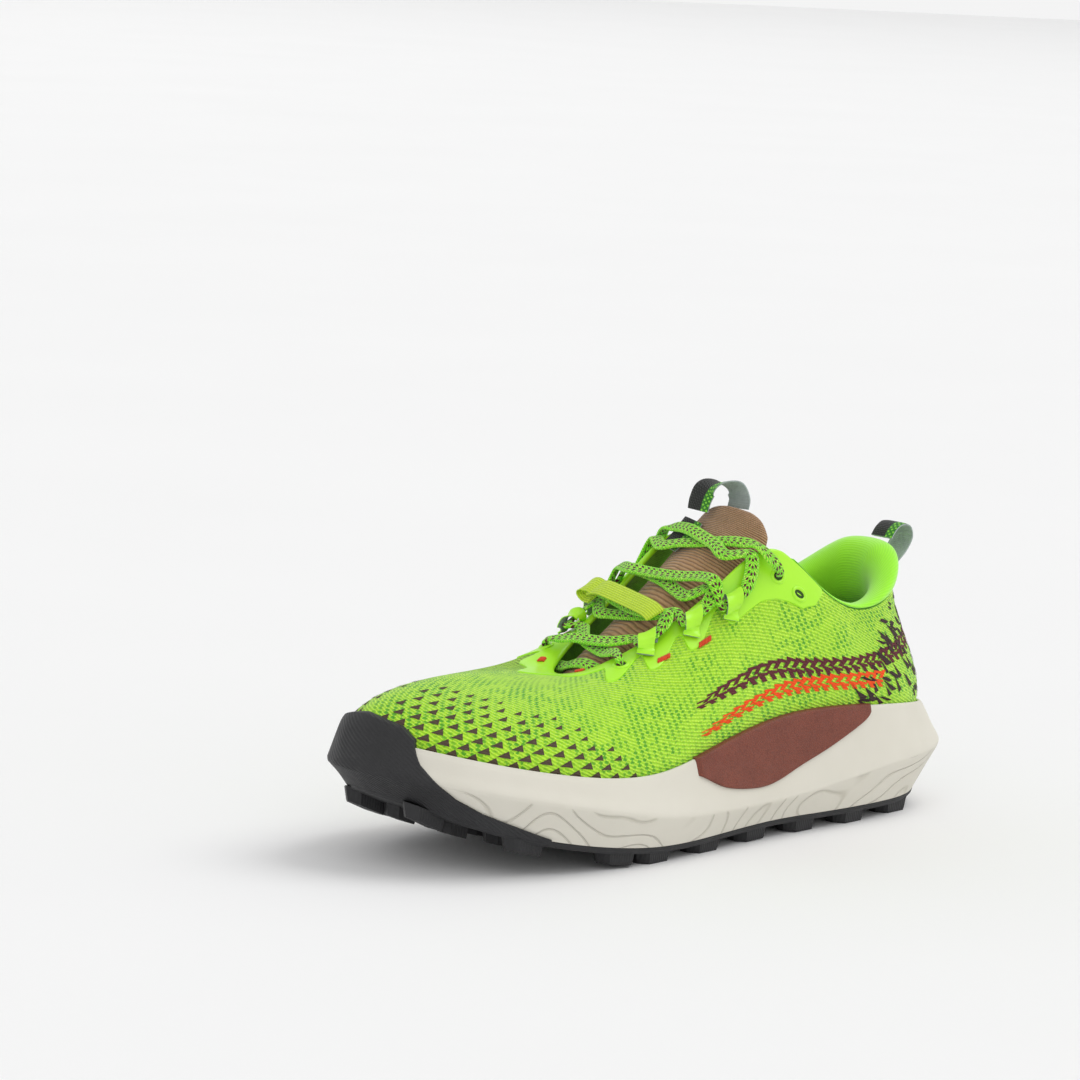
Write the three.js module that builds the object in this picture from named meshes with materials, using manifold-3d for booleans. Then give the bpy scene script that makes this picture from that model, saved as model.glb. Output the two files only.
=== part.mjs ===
// Trail running shoe for the left foot, about EU 42, in millimetres with +Z up.
// The toe points towards -Y and the outer (lateral) side of the foot towards +X.
// The origin is at the middle of the footprint, on the ground plane under the lugs.
import * as THREE from 'three';
import { mergeVertices } from 'three/addons/utils/BufferGeometryUtils.js';
import Module from 'manifold-3d';

const wasm = await Module();
wasm.setup();

// ---------- driving dimensions ----------

const GAP = 0.3; // clearance between pieces that touch
const SHELL = 1.8; // knitted upper
const RUBBER = 2.5; // tread sheet under the foam
const LUG = 4.7; // lug height below the tread sheet
const BUMPER = 2.1; // rubber toe bumper
const RIM_DEPTH = 4; // how far the foot bed lies below the foam's top edge
const RIM_WIDTH = 1.6;
const BOARD = 1.2; // strobel board
const INSOLE = 4.2; // sockliner
const FLEX_Y = -68; // toe flex line, under the ball of the foot
const FLEX_Z = 33;
const FLEX_ANGLE = 30; // degrees of toe lift
const LACE_WIDTH = 5.4;
const LACE_THICK = 1.5;
const WEBBING_WIDTH = 12;
const WEBBING_THICK = 1.1;

// Plan stations from the heel centre along the lateral side to the toe and back along the
// medial side. The crease is the widest line of the foam wall.
const STATION_NAMES = ['x', 'y', 'tread', 'crease', 'top', 'baseInset', 'topInset'];
const STATIONS = [
  [2, 150, 6.4, 27.0, 43.0, 12, 9.0],
  [24, 144, 5.6, 27.5, 43.5, 11, 8.5],
  [39, 122, 4.8, 27.0, 46.0, 8, 7.0],
  [44, 92, 4.7, 24.5, 48.5, 6, 6.0],
  [45, 60, 4.9, 20.4, 50.0, 5, 5.5],
  [47, 30, 5.2, 18.2, 48.5, 5, 5.5],
  [52, -5, 4.4, 18.4, 42.0, 5, 6.0],
  [56, -40, 4.6, 20.4, 35.8, 5, 6.5],
  [54, -78, 9.2, 27.0, 38.2, 5, 6.5],
  [42, -112, 16.5, 33.5, 44.0, 6, 6.0],
  [20, -137, 25.0, 39.0, 49.5, 8, 4.5],
  [-10, -148, 28.5, 41.0, 52.0, 9, 3.5],
  [-33, -137, 25.0, 39.0, 49.5, 8, 4.0],
  [-47, -112, 16.5, 33.0, 44.5, 6, 6.0],
  [-53, -78, 9.2, 27.0, 39.5, 5, 6.5],
  [-51, -42, 4.8, 21.5, 37.5, 5, 6.5],
  [-43, -6, 4.5, 19.5, 39.0, 5, 5.5],
  [-37, 28, 5.2, 19.5, 42.0, 4, 4.0],
  [-37, 62, 5.0, 21.5, 44.0, 4, 4.5],
  [-40, 95, 4.7, 24.5, 45.5, 6, 6.0],
  [-36, 124, 4.8, 27.0, 45.0, 8, 7.0],
  [-21, 144, 5.6, 27.5, 43.5, 11, 8.5],
];

// Edge of the upper's opening (top line, lace flaps, throat) at the same stations, with the
// two handles of each station's profile curve: out and up from the feather line, then out
// and down from the edge.
const EDGE_NAMES = ['x', 'y', 'z', 'footOut', 'footUp', 'edgeOut', 'edgeDown'];
const EDGES = [
  [0, 123, 100, 4, 20, -1, 22],
  [15, 119, 98, 4, 20, 1, 22],
  [28, 105, 91, 4, 16, 4, 16],
  [33, 84, 88, 4, 14, 5, 14],
  [32, 62, 98, 4, 15, 6, 16],
  [28, 38, 115, 4, 18, 8, 22],
  [24, 14, 103, 4, 20, 12, 18],
  [20, -8, 88, 4, 20, 16, 12],
  [14, -27, 77, 5, 20, 22, 6],
  [8, -41, 70, 5, 20, 28, -2],
  [2, -46, 67.5, 4, 21, 34, -6],
  [-3, -47, 67, 3, 24, 36, -7],
  [-9, -45, 67.5, 4, 21, 34, -6],
  [-15, -38, 70, 5, 20, 28, -2],
  [-20, -25, 77, 5, 20, 22, 6],
  [-25, -6, 88, 4, 22, 14, 14],
  [-28, 15, 102, 4, 20, 10, 20],
  [-28, 38, 114, 4, 18, 7, 22],
  [-31, 62, 98, 4, 15, 5, 16],
  [-32, 84, 89, 4, 14, 4, 14],
  [-27, 105, 91, 4, 16, 3, 16],
  [-15, 119, 98, 4, 20, 0, 22],
];

// ---------- colours ----------

const COLOURS = {
  upper: 0x9be62a,
  film: 0xb8f23a,
  elastic: 0xd2f03a,
  knit: 0x9a7350,
  collar: 0xa9f53c,
  foam: 0xdcd8ca,
  insert: 0x86402c,
  rubber: 0x1d1d1e,
  webbing: 0x202320,
  lace: 0x8be52c,
  tip: 0xb9c4c0,
  board: 0xe4dfd0,
  insole: 0x7dbf2c,
  stiffener: 0x4a4d4b,
  thread: 0xff5a1e,
};

// The tables' own origin lies a little off the middle of the footprint, which is Z-up zero.
const shoe = new THREE.Group();
shoe.position.set(-1.5, -1.5, 0);

function addPiece(name, geometry, colour, roughness = 0.8) {
  const material = new THREE.MeshStandardMaterial({ color: colour, roughness, metalness: 0 });
  const mesh = new THREE.Mesh(geometry, material);
  mesh.name = name;
  shoe.add(mesh);
  return mesh;
}

// ---------- small helpers ----------

const lerp = THREE.MathUtils.lerp;
const smooth = THREE.MathUtils.smoothstep;

// Smooth closed curve through one column of a station table.
function periodicSpline(values) {
  const count = values.length;
  let slopes = new Array(count).fill(0);
  for (let pass = 0; pass < 60; pass++) {
    slopes = slopes.map((slope, i) => {
      const before = (i + count - 1) % count;
      const after = (i + 1) % count;
      const rise = 3 * (values[after] - values[before]);
      return 0.5 * slope + 0.125 * (rise - slopes[before] - slopes[after]);
    });
  }
  return (u) => {
    const place = (((u % 1) + 1) % 1) * count;
    const i = Math.floor(place) % count;
    const j = (i + 1) % count;
    const f = place - Math.floor(place);
    const g = 1 - f;
    const ends = values[i] * (1 + 2 * f) * g * g + values[j] * f * f * (3 - 2 * f);
    return ends + slopes[i] * f * g * g - slopes[j] * f * f * g;
  };
}

function readTable(names, rows) {
  const curves = {};
  names.forEach((name, column) => {
    curves[name] = periodicSpline(rows.map((row) => row[column]));
  });
  return curves;
}

const plan = readTable(STATION_NAMES, STATIONS);
const edge = readTable(EDGE_NAMES, EDGES);

// Outward direction of the plan outline, level with the ground.
function outward(u) {
  const step = 0.002;
  const dx = plan.x(u + step) - plan.x(u - step);
  const dy = plan.y(u + step) - plan.y(u - step);
  return new THREE.Vector3(-dy, dx, 0).normalize();
}

// Point on the outline moved inwards by inset, at height z.
function wallPoint(u, inset, z) {
  const out = outward(u);
  return new THREE.Vector3(plan.x(u) - out.x * inset, plan.y(u) - out.y * inset, z);
}

function closedGeometry(points, faces) {
  const loose = new THREE.BufferGeometry();
  const position = [];
  for (const face of faces) {
    for (const index of face) {
      position.push(points[index].x, points[index].y, points[index].z);
    }
  }
  loose.setAttribute('position', new THREE.Float32BufferAttribute(position, 3));
  const merged = mergeVertices(loose, 0.001);
  const index = merged.getIndex();
  const kept = [];
  for (let i = 0; i < index.count; i += 3) {
    const [a, b, c] = [index.getX(i), index.getX(i + 1), index.getX(i + 2)];
    if (a !== b && b !== c && c !== a) {
      kept.push(a, b, c);
    }
  }
  merged.setIndex(kept);
  return faceOut(merged);
}

// Turns the faces round if the body's volume comes out negative.
function faceOut(geometry) {
  const index = geometry.getIndex();
  const at = geometry.getAttribute('position');
  const [a, b, c] = [new THREE.Vector3(), new THREE.Vector3(), new THREE.Vector3()];
  let volume = 0;
  for (let i = 0; i < index.count; i += 3) {
    a.fromBufferAttribute(at, index.getX(i));
    b.fromBufferAttribute(at, index.getX(i + 1));
    c.fromBufferAttribute(at, index.getX(i + 2));
    volume += a.dot(b.cross(c));
  }
  if (volume < 0) {
    const turned = [];
    for (let i = 0; i < index.count; i += 3) {
      turned.push(index.getX(i), index.getX(i + 2), index.getX(i + 1));
    }
    geometry.setIndex(turned);
  }
  return geometry;
}

// Body through a row of rings. Each ring runs down one side and back up the other, so its
// points pair off first with last. A pinched end has its two halves together and needs no cap.
function ringBody(rings, { capStart = true, capEnd = true, closed = false } = {}) {
  const size = rings[0].length;
  const points = rings.flat();
  const faces = [];
  const spans = closed ? rings.length : rings.length - 1;
  for (let r = 0; r < spans; r++) {
    const here = r * size;
    const next = ((r + 1) % rings.length) * size;
    for (let i = 0; i < size; i++) {
      const j = (i + 1) % size;
      faces.push([here + i, here + j, next + j], [here + i, next + j, next + i]);
    }
  }
  const cap = (start, turn) => {
    for (let i = 0; i < size / 2 - 1; i++) {
      const [a, b] = [start + i, start + i + 1];
      const [c, d] = [start + size - 2 - i, start + size - 1 - i];
      for (const face of [[a, c, b], [a, d, c]]) {
        faces.push(turn ? face.reverse() : face);
      }
    }
  };
  if (!closed && capStart) {
    cap(0, false);
  }
  if (!closed && capEnd) {
    cap((rings.length - 1) * size, true);
  }
  return closedGeometry(points, faces);
}

// Sheet with thickness: outer and inner are grids of points of the same size.
function sheetBody(outer, inner) {
  const rings = outer.map((row, i) => [...row, ...[...inner[i]].reverse()]);
  return ringBody(rings);
}

function toSolid(geometry) {
  const clean = geometry.clone();
  clean.deleteAttribute('normal');
  clean.deleteAttribute('uv');
  const merged = mergeVertices(clean, 0.0005);
  return new wasm.Manifold(new wasm.Mesh({
    numProp: 3,
    vertProperties: new Float32Array(merged.getAttribute('position').array),
    triVerts: new Uint32Array(merged.getIndex().array),
  }));
}

function toGeometry(solid) {
  const mesh = solid.getMesh();
  const geometry = new THREE.BufferGeometry();
  geometry.setAttribute('position', new THREE.Float32BufferAttribute(mesh.vertProperties, 3));
  geometry.setIndex(Array.from(mesh.triVerts));
  return geometry;
}

function boxSolid(low, high) {
  const size = high.clone().sub(low);
  const box = new THREE.BoxGeometry(size.x, size.y, size.z);
  const middle = low.clone().add(high).multiplyScalar(0.5);
  box.translate(middle.x, middle.y, middle.z);
  return toSolid(box);
}

function range(count, from, to) {
  return Array.from({ length: count + 1 }, (_, i) => lerp(from, to, i / count));
}

// ---------- surfaces that the pieces share ----------

const baseZ = (u) => plan.tread(u) + RUBBER + GAP;
const bedInset = (u) => plan.topInset(u) + RIM_WIDTH;
const bedZ = (u) => plan.top(u) - RIM_DEPTH;

const footInset = (u) => plan.topInset(u) + RIM_WIDTH + 1.2;

function footPoint(u) {
  return wallPoint(u, footInset(u), bedZ(u) + GAP + 0.1);
}

function edgePoint(u) {
  return new THREE.Vector3(edge.x(u), edge.y(u), edge.z(u));
}

// Outer face of the upper: v runs from the feather line (0) to the opening's edge (1).
function upperPoint(u, v) {
  const foot = footPoint(u);
  const rim = edgePoint(u);
  const out = outward(u);
  const lean = new THREE.Vector3(foot.x - rim.x, foot.y - rim.y, 0).normalize();
  const a = foot.clone().addScaledVector(out, edge.footOut(u));
  a.z += edge.footUp(u);
  const b = rim.clone().addScaledVector(lean, edge.edgeOut(u));
  b.z -= edge.edgeDown(u);
  return new THREE.CubicBezierCurve3(foot, a, b, rim).getPoint(v);
}

function upperNormal(u, v) {
  const step = 0.004;
  const low = Math.max(0, v - step);
  const high = Math.min(1, v + step);
  const along = upperPoint(u + step, v).sub(upperPoint(u - step, v));
  const up = upperPoint(u, high).sub(upperPoint(u, low));
  return along.cross(up).normalize().negate();
}

// Point at a distance outside (or, if negative, inside) the upper's outer face.
function upperOffset(u, v, distance) {
  return upperPoint(u, v).addScaledVector(upperNormal(u, v), distance);
}

// ---------- sole: foam, tread sheet, lugs ----------

const SLICES = 40; // slices from heel to toe
// Slice u of a layer: the lateral points of the profile, then the medial ones in reverse.
function slice(profile, u) {
  return [...profile(u), ...profile(1 - u).reverse()];
}

// Layer between two plan stations, with the heel at 0 and the toe at 0.5.
function layer(profile, from = 0, to = 0.5) {
  const count = Math.max(2, Math.round((to - from) * 2 * SLICES));
  const rings = range(count, from, to).map((u) => slice(profile, u));
  return ringBody(rings, { capStart: from > 0, capEnd: to < 0.5 });
}

const bedEdge = (u) => wallPoint(u, bedInset(u) + 0.4, bedZ(u));
const treadEdge = (u) => wallPoint(u, plan.baseInset(u) + 1.2, plan.tread(u));

function foamProfile(u) {
  return [
    wallPoint(u, plan.baseInset(u), baseZ(u)),
    wallPoint(u, 0, plan.crease(u)),
    wallPoint(u, plan.topInset(u), plan.top(u)),
    wallPoint(u, bedInset(u), plan.top(u)),
    bedEdge(u),
  ];
}

function treadProfile(u) {
  return [
    treadEdge(u),
    wallPoint(u, plan.baseInset(u), plan.tread(u) + RUBBER),
  ];
}

// Where a loop of points crosses a given Y, on the lateral side or the medial one.
function stationAt(y, side = 'lateral', pointAt = (u) => wallPoint(u, 0, 0)) {
  let [low, high] = [0, 0.5];
  for (let pass = 0; pass < 30; pass++) {
    const middle = (low + high) / 2;
    if (pointAt(side === 'lateral' ? middle : 1 - middle).y > y) {
      low = middle;
    } else {
      high = middle;
    }
  }
  return side === 'lateral' ? low : 1 - low;
}

// Height at (x, y) of the surface stretched straight across a loop of points.
function heightAcross(pointAt, x, y) {
  const lateral = pointAt(stationAt(y, 'lateral', pointAt));
  const medial = pointAt(stationAt(y, 'medial', pointAt));
  const f = (x - medial.x) / Math.max(1, lateral.x - medial.x);
  return lerp(medial.z, lateral.z, THREE.MathUtils.clamp(f, 0, 1));
}

// Profile of a flat layer that lies on the foot bed.
function levelProfile(inset, low, high) {
  return (u) => {
    const foot = wallPoint(u, bedInset(u) + inset, 0);
    const z = heightAcross(bedEdge, foot.x, foot.y);
    return [low, high].map((rise) => new THREE.Vector3(foot.x, foot.y, z + rise));
  };
}

// Cuts along the flex line: the flat planes that meet under the ball of the foot.
const FAR = 400;
const wedge = THREE.MathUtils.degToRad(FLEX_ANGLE / 2);

// Everything behind (side 1) or in front (side -1) of a plane through the flex line that
// leans by an angle, moved back from it by a clearance.
function flexHalf(side, lean, clearance) {
  const box = new THREE.BoxGeometry(FAR, FAR, FAR);
  box.translate(0, side * (FAR / 2 + clearance), 0);
  box.rotateX(-lean);
  box.translate(0, FLEX_Y, FLEX_Z);
  return toSolid(box);
}

// The sole splits straight down below the flex line. Above it everything leaves a wedge that
// closes as the toe lifts.
const upperBack = flexHalf(1, wedge, GAP);
const upperFront = flexHalf(-1, -wedge, GAP);
const soleBack = flexHalf(1, 0, GAP / 2).intersect(upperBack);
const soleFront = flexHalf(-1, 0, GAP / 2).intersect(upperFront);

const foam = toSolid(layer(foamProfile));

// Softer brown foam let into the lateral wall under the heel and arch.
const INSERT_FRONT_Y = -18;
const INSERT_BACK_Y = 88;
const INSERT_DEPTH = 3;

// Point of the foam wall above the crease: w runs from the crease to the top edge.
function upperWall(u, w, offset) {
  const inset = lerp(0, plan.topInset(u), w);
  return wallPoint(u, inset - offset, lerp(plan.crease(u), plan.top(u), w));
}

function insertBody(grow) {
  const from = stationAt(INSERT_BACK_Y + grow);
  const to = stationAt(INSERT_FRONT_Y - grow);
  const outer = [];
  const inner = [];
  for (const s of range(14, 0, 1)) {
    const u = lerp(from, to, s);
    const belly = Math.sin(Math.PI * Math.pow(s, 1.15)) ** 0.75;
    const lowest = lerp(0.92, 0.38, belly) - 0.012 * grow;
    const ws = range(3, lowest, 0.97 + 0.012 * grow);
    outer.push(ws.map((w) => upperWall(u, w, grow > 0 ? 3 : 0.25)));
    const depth = (w) => lerp(INSERT_DEPTH + grow, grow > 0 ? 2.2 : 1.1, smooth(w, 0.5, 0.9));
    inner.push(ws.map((w) => upperWall(u, w, -depth(w))));
  }
  return sheetBody(outer, inner);
}

// Rubber toe bumper: a skin let into the foam wall that climbs onto the toe of the upper.
// Its top edge falls from the toe tip backwards. Heights: 0 the foam's base, 1 the crease,
// 2 the foam's top edge, 3 well up the upper's toe; away is the distance from the toe tip
// as a share of the whole loop.
const BUMPER_TOP = [
  { away: 0, height: 3 },
  { away: 0.03, height: 2.7 },
  { away: 0.041, height: 2.05 },
  { away: 0.0455, height: 1.5 },
  { away: 0.057, height: 0.95 },
  { away: 0.066, height: 0.6 },
  { away: 0.08, height: 0.38 },
  { away: 0.098, height: 0.25 },
  { away: 0.119, height: 0.08 },
];
const BUMPER_REACH = 0.119;

function bumperTop(away) {
  const i = Math.max(1, BUMPER_TOP.findIndex((stop) => stop.away >= away - 1e-9));
  const [a, b] = [BUMPER_TOP[i - 1], BUMPER_TOP[i]];
  return lerp(a.height, b.height, (away - a.away) / (b.away - a.away));
}

// Point of the shoe's outside at the toe, at one of the heights above.
function toePoint(u, height) {
  const low = wallPoint(u, plan.baseInset(u), baseZ(u));
  const crease = wallPoint(u, 0, plan.crease(u));
  const top = wallPoint(u, plan.topInset(u), plan.top(u) + 0.6);
  if (height <= 1) {
    return low.lerp(crease, height);
  }
  if (height <= 2) {
    return crease.lerp(top, height - 1);
  }
  const proud = outward(u).multiplyScalar(BUMPER + 0.5);
  return upperPoint(u, lerp(0.1, 0.2, height - 2)).add(proud);
}

function bumperBody(grow) {
  const outer = [];
  const inner = [];
  const reach = BUMPER_REACH + grow * 0.001;
  for (const u of range(32, 0.5 - reach, 0.5 + reach)) {
    const away = Math.min(Math.abs(u - 0.5), BUMPER_REACH);
    const top = bumperTop(away) + grow * 0.02;
    const out = outward(u);
    const points = range(7, -grow * 0.1, 1).map((share) => toePoint(u, share * top));
    outer.push(points.map((point) => point.clone().addScaledVector(out, grow > 0 ? 4 : 0)));
    inner.push(points.map((point) => point.clone().addScaledVector(out, -BUMPER - grow)));
  }
  return sheetBody(outer, inner);
}

const pocket = toSolid(insertBody(GAP));
const bumperSeat = toSolid(bumperBody(1.6 * GAP));
addPiece('midsole_rear', toGeometry(foam.subtract(pocket).intersect(soleBack)), COLOURS.foam);
const foamFront = foam.subtract(bumperSeat).intersect(soleFront);
addPiece('midsole_forefoot', toGeometry(foamFront), COLOURS.foam);
addPiece('midsole_insert', insertBody(0), COLOURS.insert, 0.6);
addPiece('toe_bumper', toGeometry(toSolid(bumperBody(0)).subtract(foamFront.translate([0, -GAP, 0]))),
  COLOURS.rubber, 0.6);

// Lugs: pointed blocks on the tread sheet. The edge rows stand flush with the sheet's edge
// and are set further apart; across runs from the medial edge (0) to the lateral one (1).
const LUG_ROWS = [
  { across: 0, spacing: 30, shift: 0, length: 19, width: 13 },
  { across: 0.35, spacing: 20, shift: 8, length: 13, width: 12 },
  { across: 0.66, spacing: 20, shift: -2, length: 13, width: 12 },
  { across: 1, spacing: 30, shift: 0, length: 19, width: 13 },
];
const LUG_FIRST_Y = 113;
const LUG_LAST_Y = -128;
const LUG_TAPER = 0.86;

const treadHeight = (x, y) => heightAcross(treadEdge, x, y);
const groundZ = (x, y) => Math.max(0, treadHeight(x, y) - LUG);

function lugBody(x, y, length, width) {
  const points = y < FLEX_Y + 30 ? -1 : 1;
  const half = width / 2;
  const outline = new THREE.Shape();
  outline.moveTo(-half, -length * 0.3 * points);
  outline.lineTo(-half * 0.35, -length * 0.5 * points);
  outline.lineTo(half * 0.35, -length * 0.5 * points);
  outline.lineTo(half, -length * 0.3 * points);
  outline.lineTo(half * 0.8, length * 0.32 * points);
  outline.lineTo(0, length * 0.5 * points);
  outline.lineTo(-half * 0.8, length * 0.32 * points);
  outline.closePath();
  const block = new THREE.ExtrudeGeometry(outline, { depth: 1, steps: 1, bevelEnabled: false });
  const at = block.getAttribute('position');
  for (let i = 0; i < at.count; i++) {
    const low = at.getZ(i) < 0.5;
    const taper = low ? LUG_TAPER : 1;
    const px = x + at.getX(i) * taper;
    const py = y + at.getY(i) * taper;
    const onGround = groundZ(x, y) === 0 && groundZ(px, py) < 0.8;
    const z = low ? (onGround ? 0 : groundZ(px, py)) : treadHeight(px, py) + 1.2;
    at.setXYZ(i, px, py, z);
  }
  return faceOut(mergeVertices(stripped(block), 0.001));
}

function stripped(geometry) {
  geometry.deleteAttribute('normal');
  geometry.deleteAttribute('uv');
  return geometry;
}

let tread = toSolid(layer(treadProfile));
for (const row of LUG_ROWS) {
  for (let y = LUG_FIRST_Y + row.shift; y > LUG_LAST_Y; y -= row.spacing) {
    const half = row.length / 2 + 1.5;
    const nearFlex = Math.abs(y - FLEX_Y) < half;
    const place = nearFlex ? FLEX_Y + (y > FLEX_Y ? half : -half) : y;
    const medial = treadEdge(stationAt(place, 'medial', treadEdge)).x + row.width / 2;
    const lateral = treadEdge(stationAt(place, 'lateral', treadEdge)).x - row.width / 2;
    const block = lugBody(lerp(medial, lateral, row.across), place, row.length, row.width);
    tread = tread.add(toSolid(block));
  }
}
addPiece('outsole_rear', toGeometry(tread.intersect(soleBack)), COLOURS.rubber, 0.7);
addPiece('outsole_forefoot', toGeometry(tread.intersect(soleFront)), COLOURS.rubber, 0.7);

// ---------- upper: one knitted shell, cut into its panels ----------

// Piece that follows the upper between two distances from its outer face. The limits of v
// are functions of u, and v is crowded towards the ends for crisp edges.
function overlay(uFrom, uTo, uSteps, vLow, vHigh, vSteps, inside, outside) {
  const outer = [];
  const inner = [];
  for (const u of range(uSteps, uFrom, uTo)) {
    const vs = range(vSteps, vLow(u), vHigh(u));
    outer.push(vs.map((v) => upperOffset(u, v, outside)));
    inner.push(vs.map((v) => upperOffset(u, v, inside)));
  }
  return sheetBody(outer, inner);
}

const SHELL_AROUND = 72;
const SHELL_UP = 9;
const shellRings = range(SHELL_AROUND, 0, 1).slice(0, SHELL_AROUND).map((u) => {
  const vs = range(SHELL_UP, 0, 1);
  const outer = vs.map((v) => upperPoint(u, v));
  const inner = vs.map((v) => upperOffset(u, v, -SHELL)).reverse();
  return [...outer, ...inner];
});
let shell = toSolid(ringBody(shellRings, { closed: true }));

// Punched lace holes: the laced one and the spare at the top of each flap, and the lowest one.
const PUNCHED = [
  { name: 'lowest', u: 0.3615, v: 0.84 },
  { name: 'top', u: 0.2245, v: 0.86 },
  { name: 'spare', u: 0.2055, v: 0.82 },
];
const HOLE_RADIUS = 2.6;

function punch(u, v) {
  const drill = new THREE.CylinderGeometry(HOLE_RADIUS, HOLE_RADIUS, 14, 10);
  const turn = new THREE.Quaternion();
  turn.setFromUnitVectors(new THREE.Vector3(0, 1, 0), upperNormal(u, v));
  drill.applyQuaternion(turn);
  const place = upperPoint(u, v);
  drill.translate(place.x, place.y, place.z);
  return toSolid(drill);
}

const sides = [
  { name: 'lateral', u: (value) => value, sign: 1 },
  { name: 'medial', u: (value) => 1 - value, sign: -1 },
];

for (const side of sides) {
  for (const hole of PUNCHED) {
    shell = shell.subtract(punch(side.u(hole.u), hole.v));
  }
}

const shellBack = shell.intersect(upperBack);
const shellFront = shell.intersect(upperFront);
const shellFlex = shell.intersect(flexHalf(-1, wedge, 0)).intersect(flexHalf(1, -wedge, 0));
const lateralHalf = boxSolid(new THREE.Vector3(GAP / 2, -FAR, -FAR), new THREE.Vector3(FAR, FAR, FAR));
const medialHalf = boxSolid(new THREE.Vector3(-FAR, -FAR, -FAR), new THREE.Vector3(-GAP / 2, FAR, FAR));
addPiece('toe_box', toGeometry(shellFront), COLOURS.upper);
addPiece('vamp_flex_panel', toGeometry(shellFlex), COLOURS.upper);
addPiece('quarter_lateral', toGeometry(shellBack.intersect(lateralHalf)), COLOURS.upper);
addPiece('quarter_medial', toGeometry(shellBack.intersect(medialHalf)), COLOURS.upper);

// ---------- stiffeners and foot bed inside the upper ----------

const COUNTER_REACH = 0.15; // how far the heel cup reaches round each side
addPiece('heel_counter', overlay(-COUNTER_REACH, COUNTER_REACH, 16,
  () => 0.14, (u) => lerp(0.6, 0.3, smooth(Math.abs(u), 0.07, COUNTER_REACH)), 4,
  -SHELL - GAP - 1.3, -SHELL - GAP), COLOURS.stiffener);
addPiece('toe_puff', overlay(0.43, 0.57, 10, () => 0.12,
  (u) => lerp(0.36, 0.18, Math.abs(u - 0.5) / 0.07), 3,
  -SHELL - 2 * GAP - 0.8, -SHELL - 2 * GAP), COLOURS.stiffener);
const BOARD_LIFT = 1;
const INSOLE_LIFT = BOARD_LIFT + BOARD + 0.85;
addPiece('strobel_board', layer(levelProfile(SHELL + 2, BOARD_LIFT, BOARD_LIFT + BOARD)), COLOURS.board);
addPiece('sockliner', layer(levelProfile(SHELL + 3.6, INSOLE_LIFT, INSOLE_LIFT + INSOLE)),
  COLOURS.insole);

// ---------- padded collar ----------

const COLLAR_END = 15 / SHELL_AROUND; // stops just behind the lace flaps
const COLLAR_LOW = 6 / SHELL_UP;

// Section of the padding at u: down the shell's inner face, over its top edge and back
// down the bulging inside.
function collarSection(u) {
  const back = 1 - smooth(Math.abs(u), 0.03, 0.14); // 1 at the heel, 0 by the flaps
  const full = 1 - smooth(Math.abs(u), 0.12, COLLAR_END);
  const bulge = lerp(2.6, 6.5, full) + 2 * back;
  const rise = lerp(1.2, 2.6, full) + 8.5 * back;
  const flare = 3 * back;
  const into = outward(u).negate();
  const near = SHELL + 2 * GAP;
  const rimAt = (inwards, up) => {
    const point = edgePoint(u).addScaledVector(into, inwards);
    point.z += up;
    return point;
  };
  return [
    upperOffset(u, COLLAR_LOW, -near),
    upperOffset(u, 7 / SHELL_UP, -near),
    upperOffset(u, 8 / SHELL_UP, -near),
    rimAt(near + 0.3, GAP + 0.1),
    rimAt(0.1 - flare * 0.6, GAP + 0.3),
    rimAt(-0.2 - flare, rise * 0.5),
    rimAt(0.4 - flare, rise * 0.85),
    rimAt(near - flare * 0.5, rise),
    rimAt(near + bulge * 0.5, rise * 0.9),
    rimAt(near + bulge * 0.95, rise * 0.4),
    rimAt(near + bulge, -3),
    upperOffset(u, 0.84, -near - bulge * 0.95),
    upperOffset(u, 0.74, -near - bulge * 0.6),
    upperOffset(u, COLLAR_LOW, -near - 1),
  ];
}

let collar = toSolid(ringBody(range(30, -COLLAR_END, COLLAR_END).map(collarSection)));
for (const away of [-GAP / 2, 0, GAP / 2]) {
  collar = collar.subtract(shell.translate([away, 0, 0]));
}
addPiece('collar_padding', toGeometry(collar), COLOURS.collar);

// ---------- overlays welded to the upper ----------

const FILM = 0.8;
const onShell = 0.45;

// Film along each lace flap: its lower edge is scalloped between the loops.
const FLAP_FROM = 0.185;
const FLAP_TO = 0.402;

function flapLowEdge(u) {
  const wide = 1 - smooth(u, 0.225, 0.262);
  const scallop = 0.035 * Math.cos((u - 0.2595) * 2 * Math.PI / 0.0345);
  const rear = 0.24 * smooth(0.205 - u, 0, 0.02);
  return lerp(0.78 - scallop, 0.72 + rear, wide);
}

// Film round the front of the throat.
const throatFilm = toSolid(overlay(FLAP_TO + 0.004, 1 - FLAP_TO - 0.004, 22,
  (u) => 0.86 - 0.03 * Math.cos((u - 0.5) * 4 * Math.PI / 0.19), () => 1, 3,
  onShell, onShell + FILM));
addPiece('throat_overlay', toGeometry(throatFilm.intersect(upperBack)), COLOURS.film, 0.45);

// ---------- webbing, loops and tacks ----------

// Flat strip with a rectangular section along points; wide is its width direction at each.
function stripBody(path, wide, width, thick, steps) {
  const line = new THREE.CatmullRomCurve3(path.map((p) => new THREE.Vector3(...p)));
  const across = new THREE.CatmullRomCurve3(wide.map((p) => new THREE.Vector3(...p)));
  const rings = range(steps, 0, 1).map((t) => {
    const middle = line.getPoint(t);
    const along = line.getTangent(t);
    const side = across.getPoint(t).addScaledVector(along, -along.dot(across.getPoint(t)));
    side.normalize().multiplyScalar(width / 2);
    const up = along.clone().cross(side).normalize().multiplyScalar(thick / 2);
    const corner = (s, h) => middle.clone().addScaledVector(side, s).addScaledVector(up, h);
    return [corner(-1, 1), corner(0, 1), corner(1, 1), corner(1, -1), corner(0, -1), corner(-1, -1)];
  });
  return ringBody(rings);
}

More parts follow.
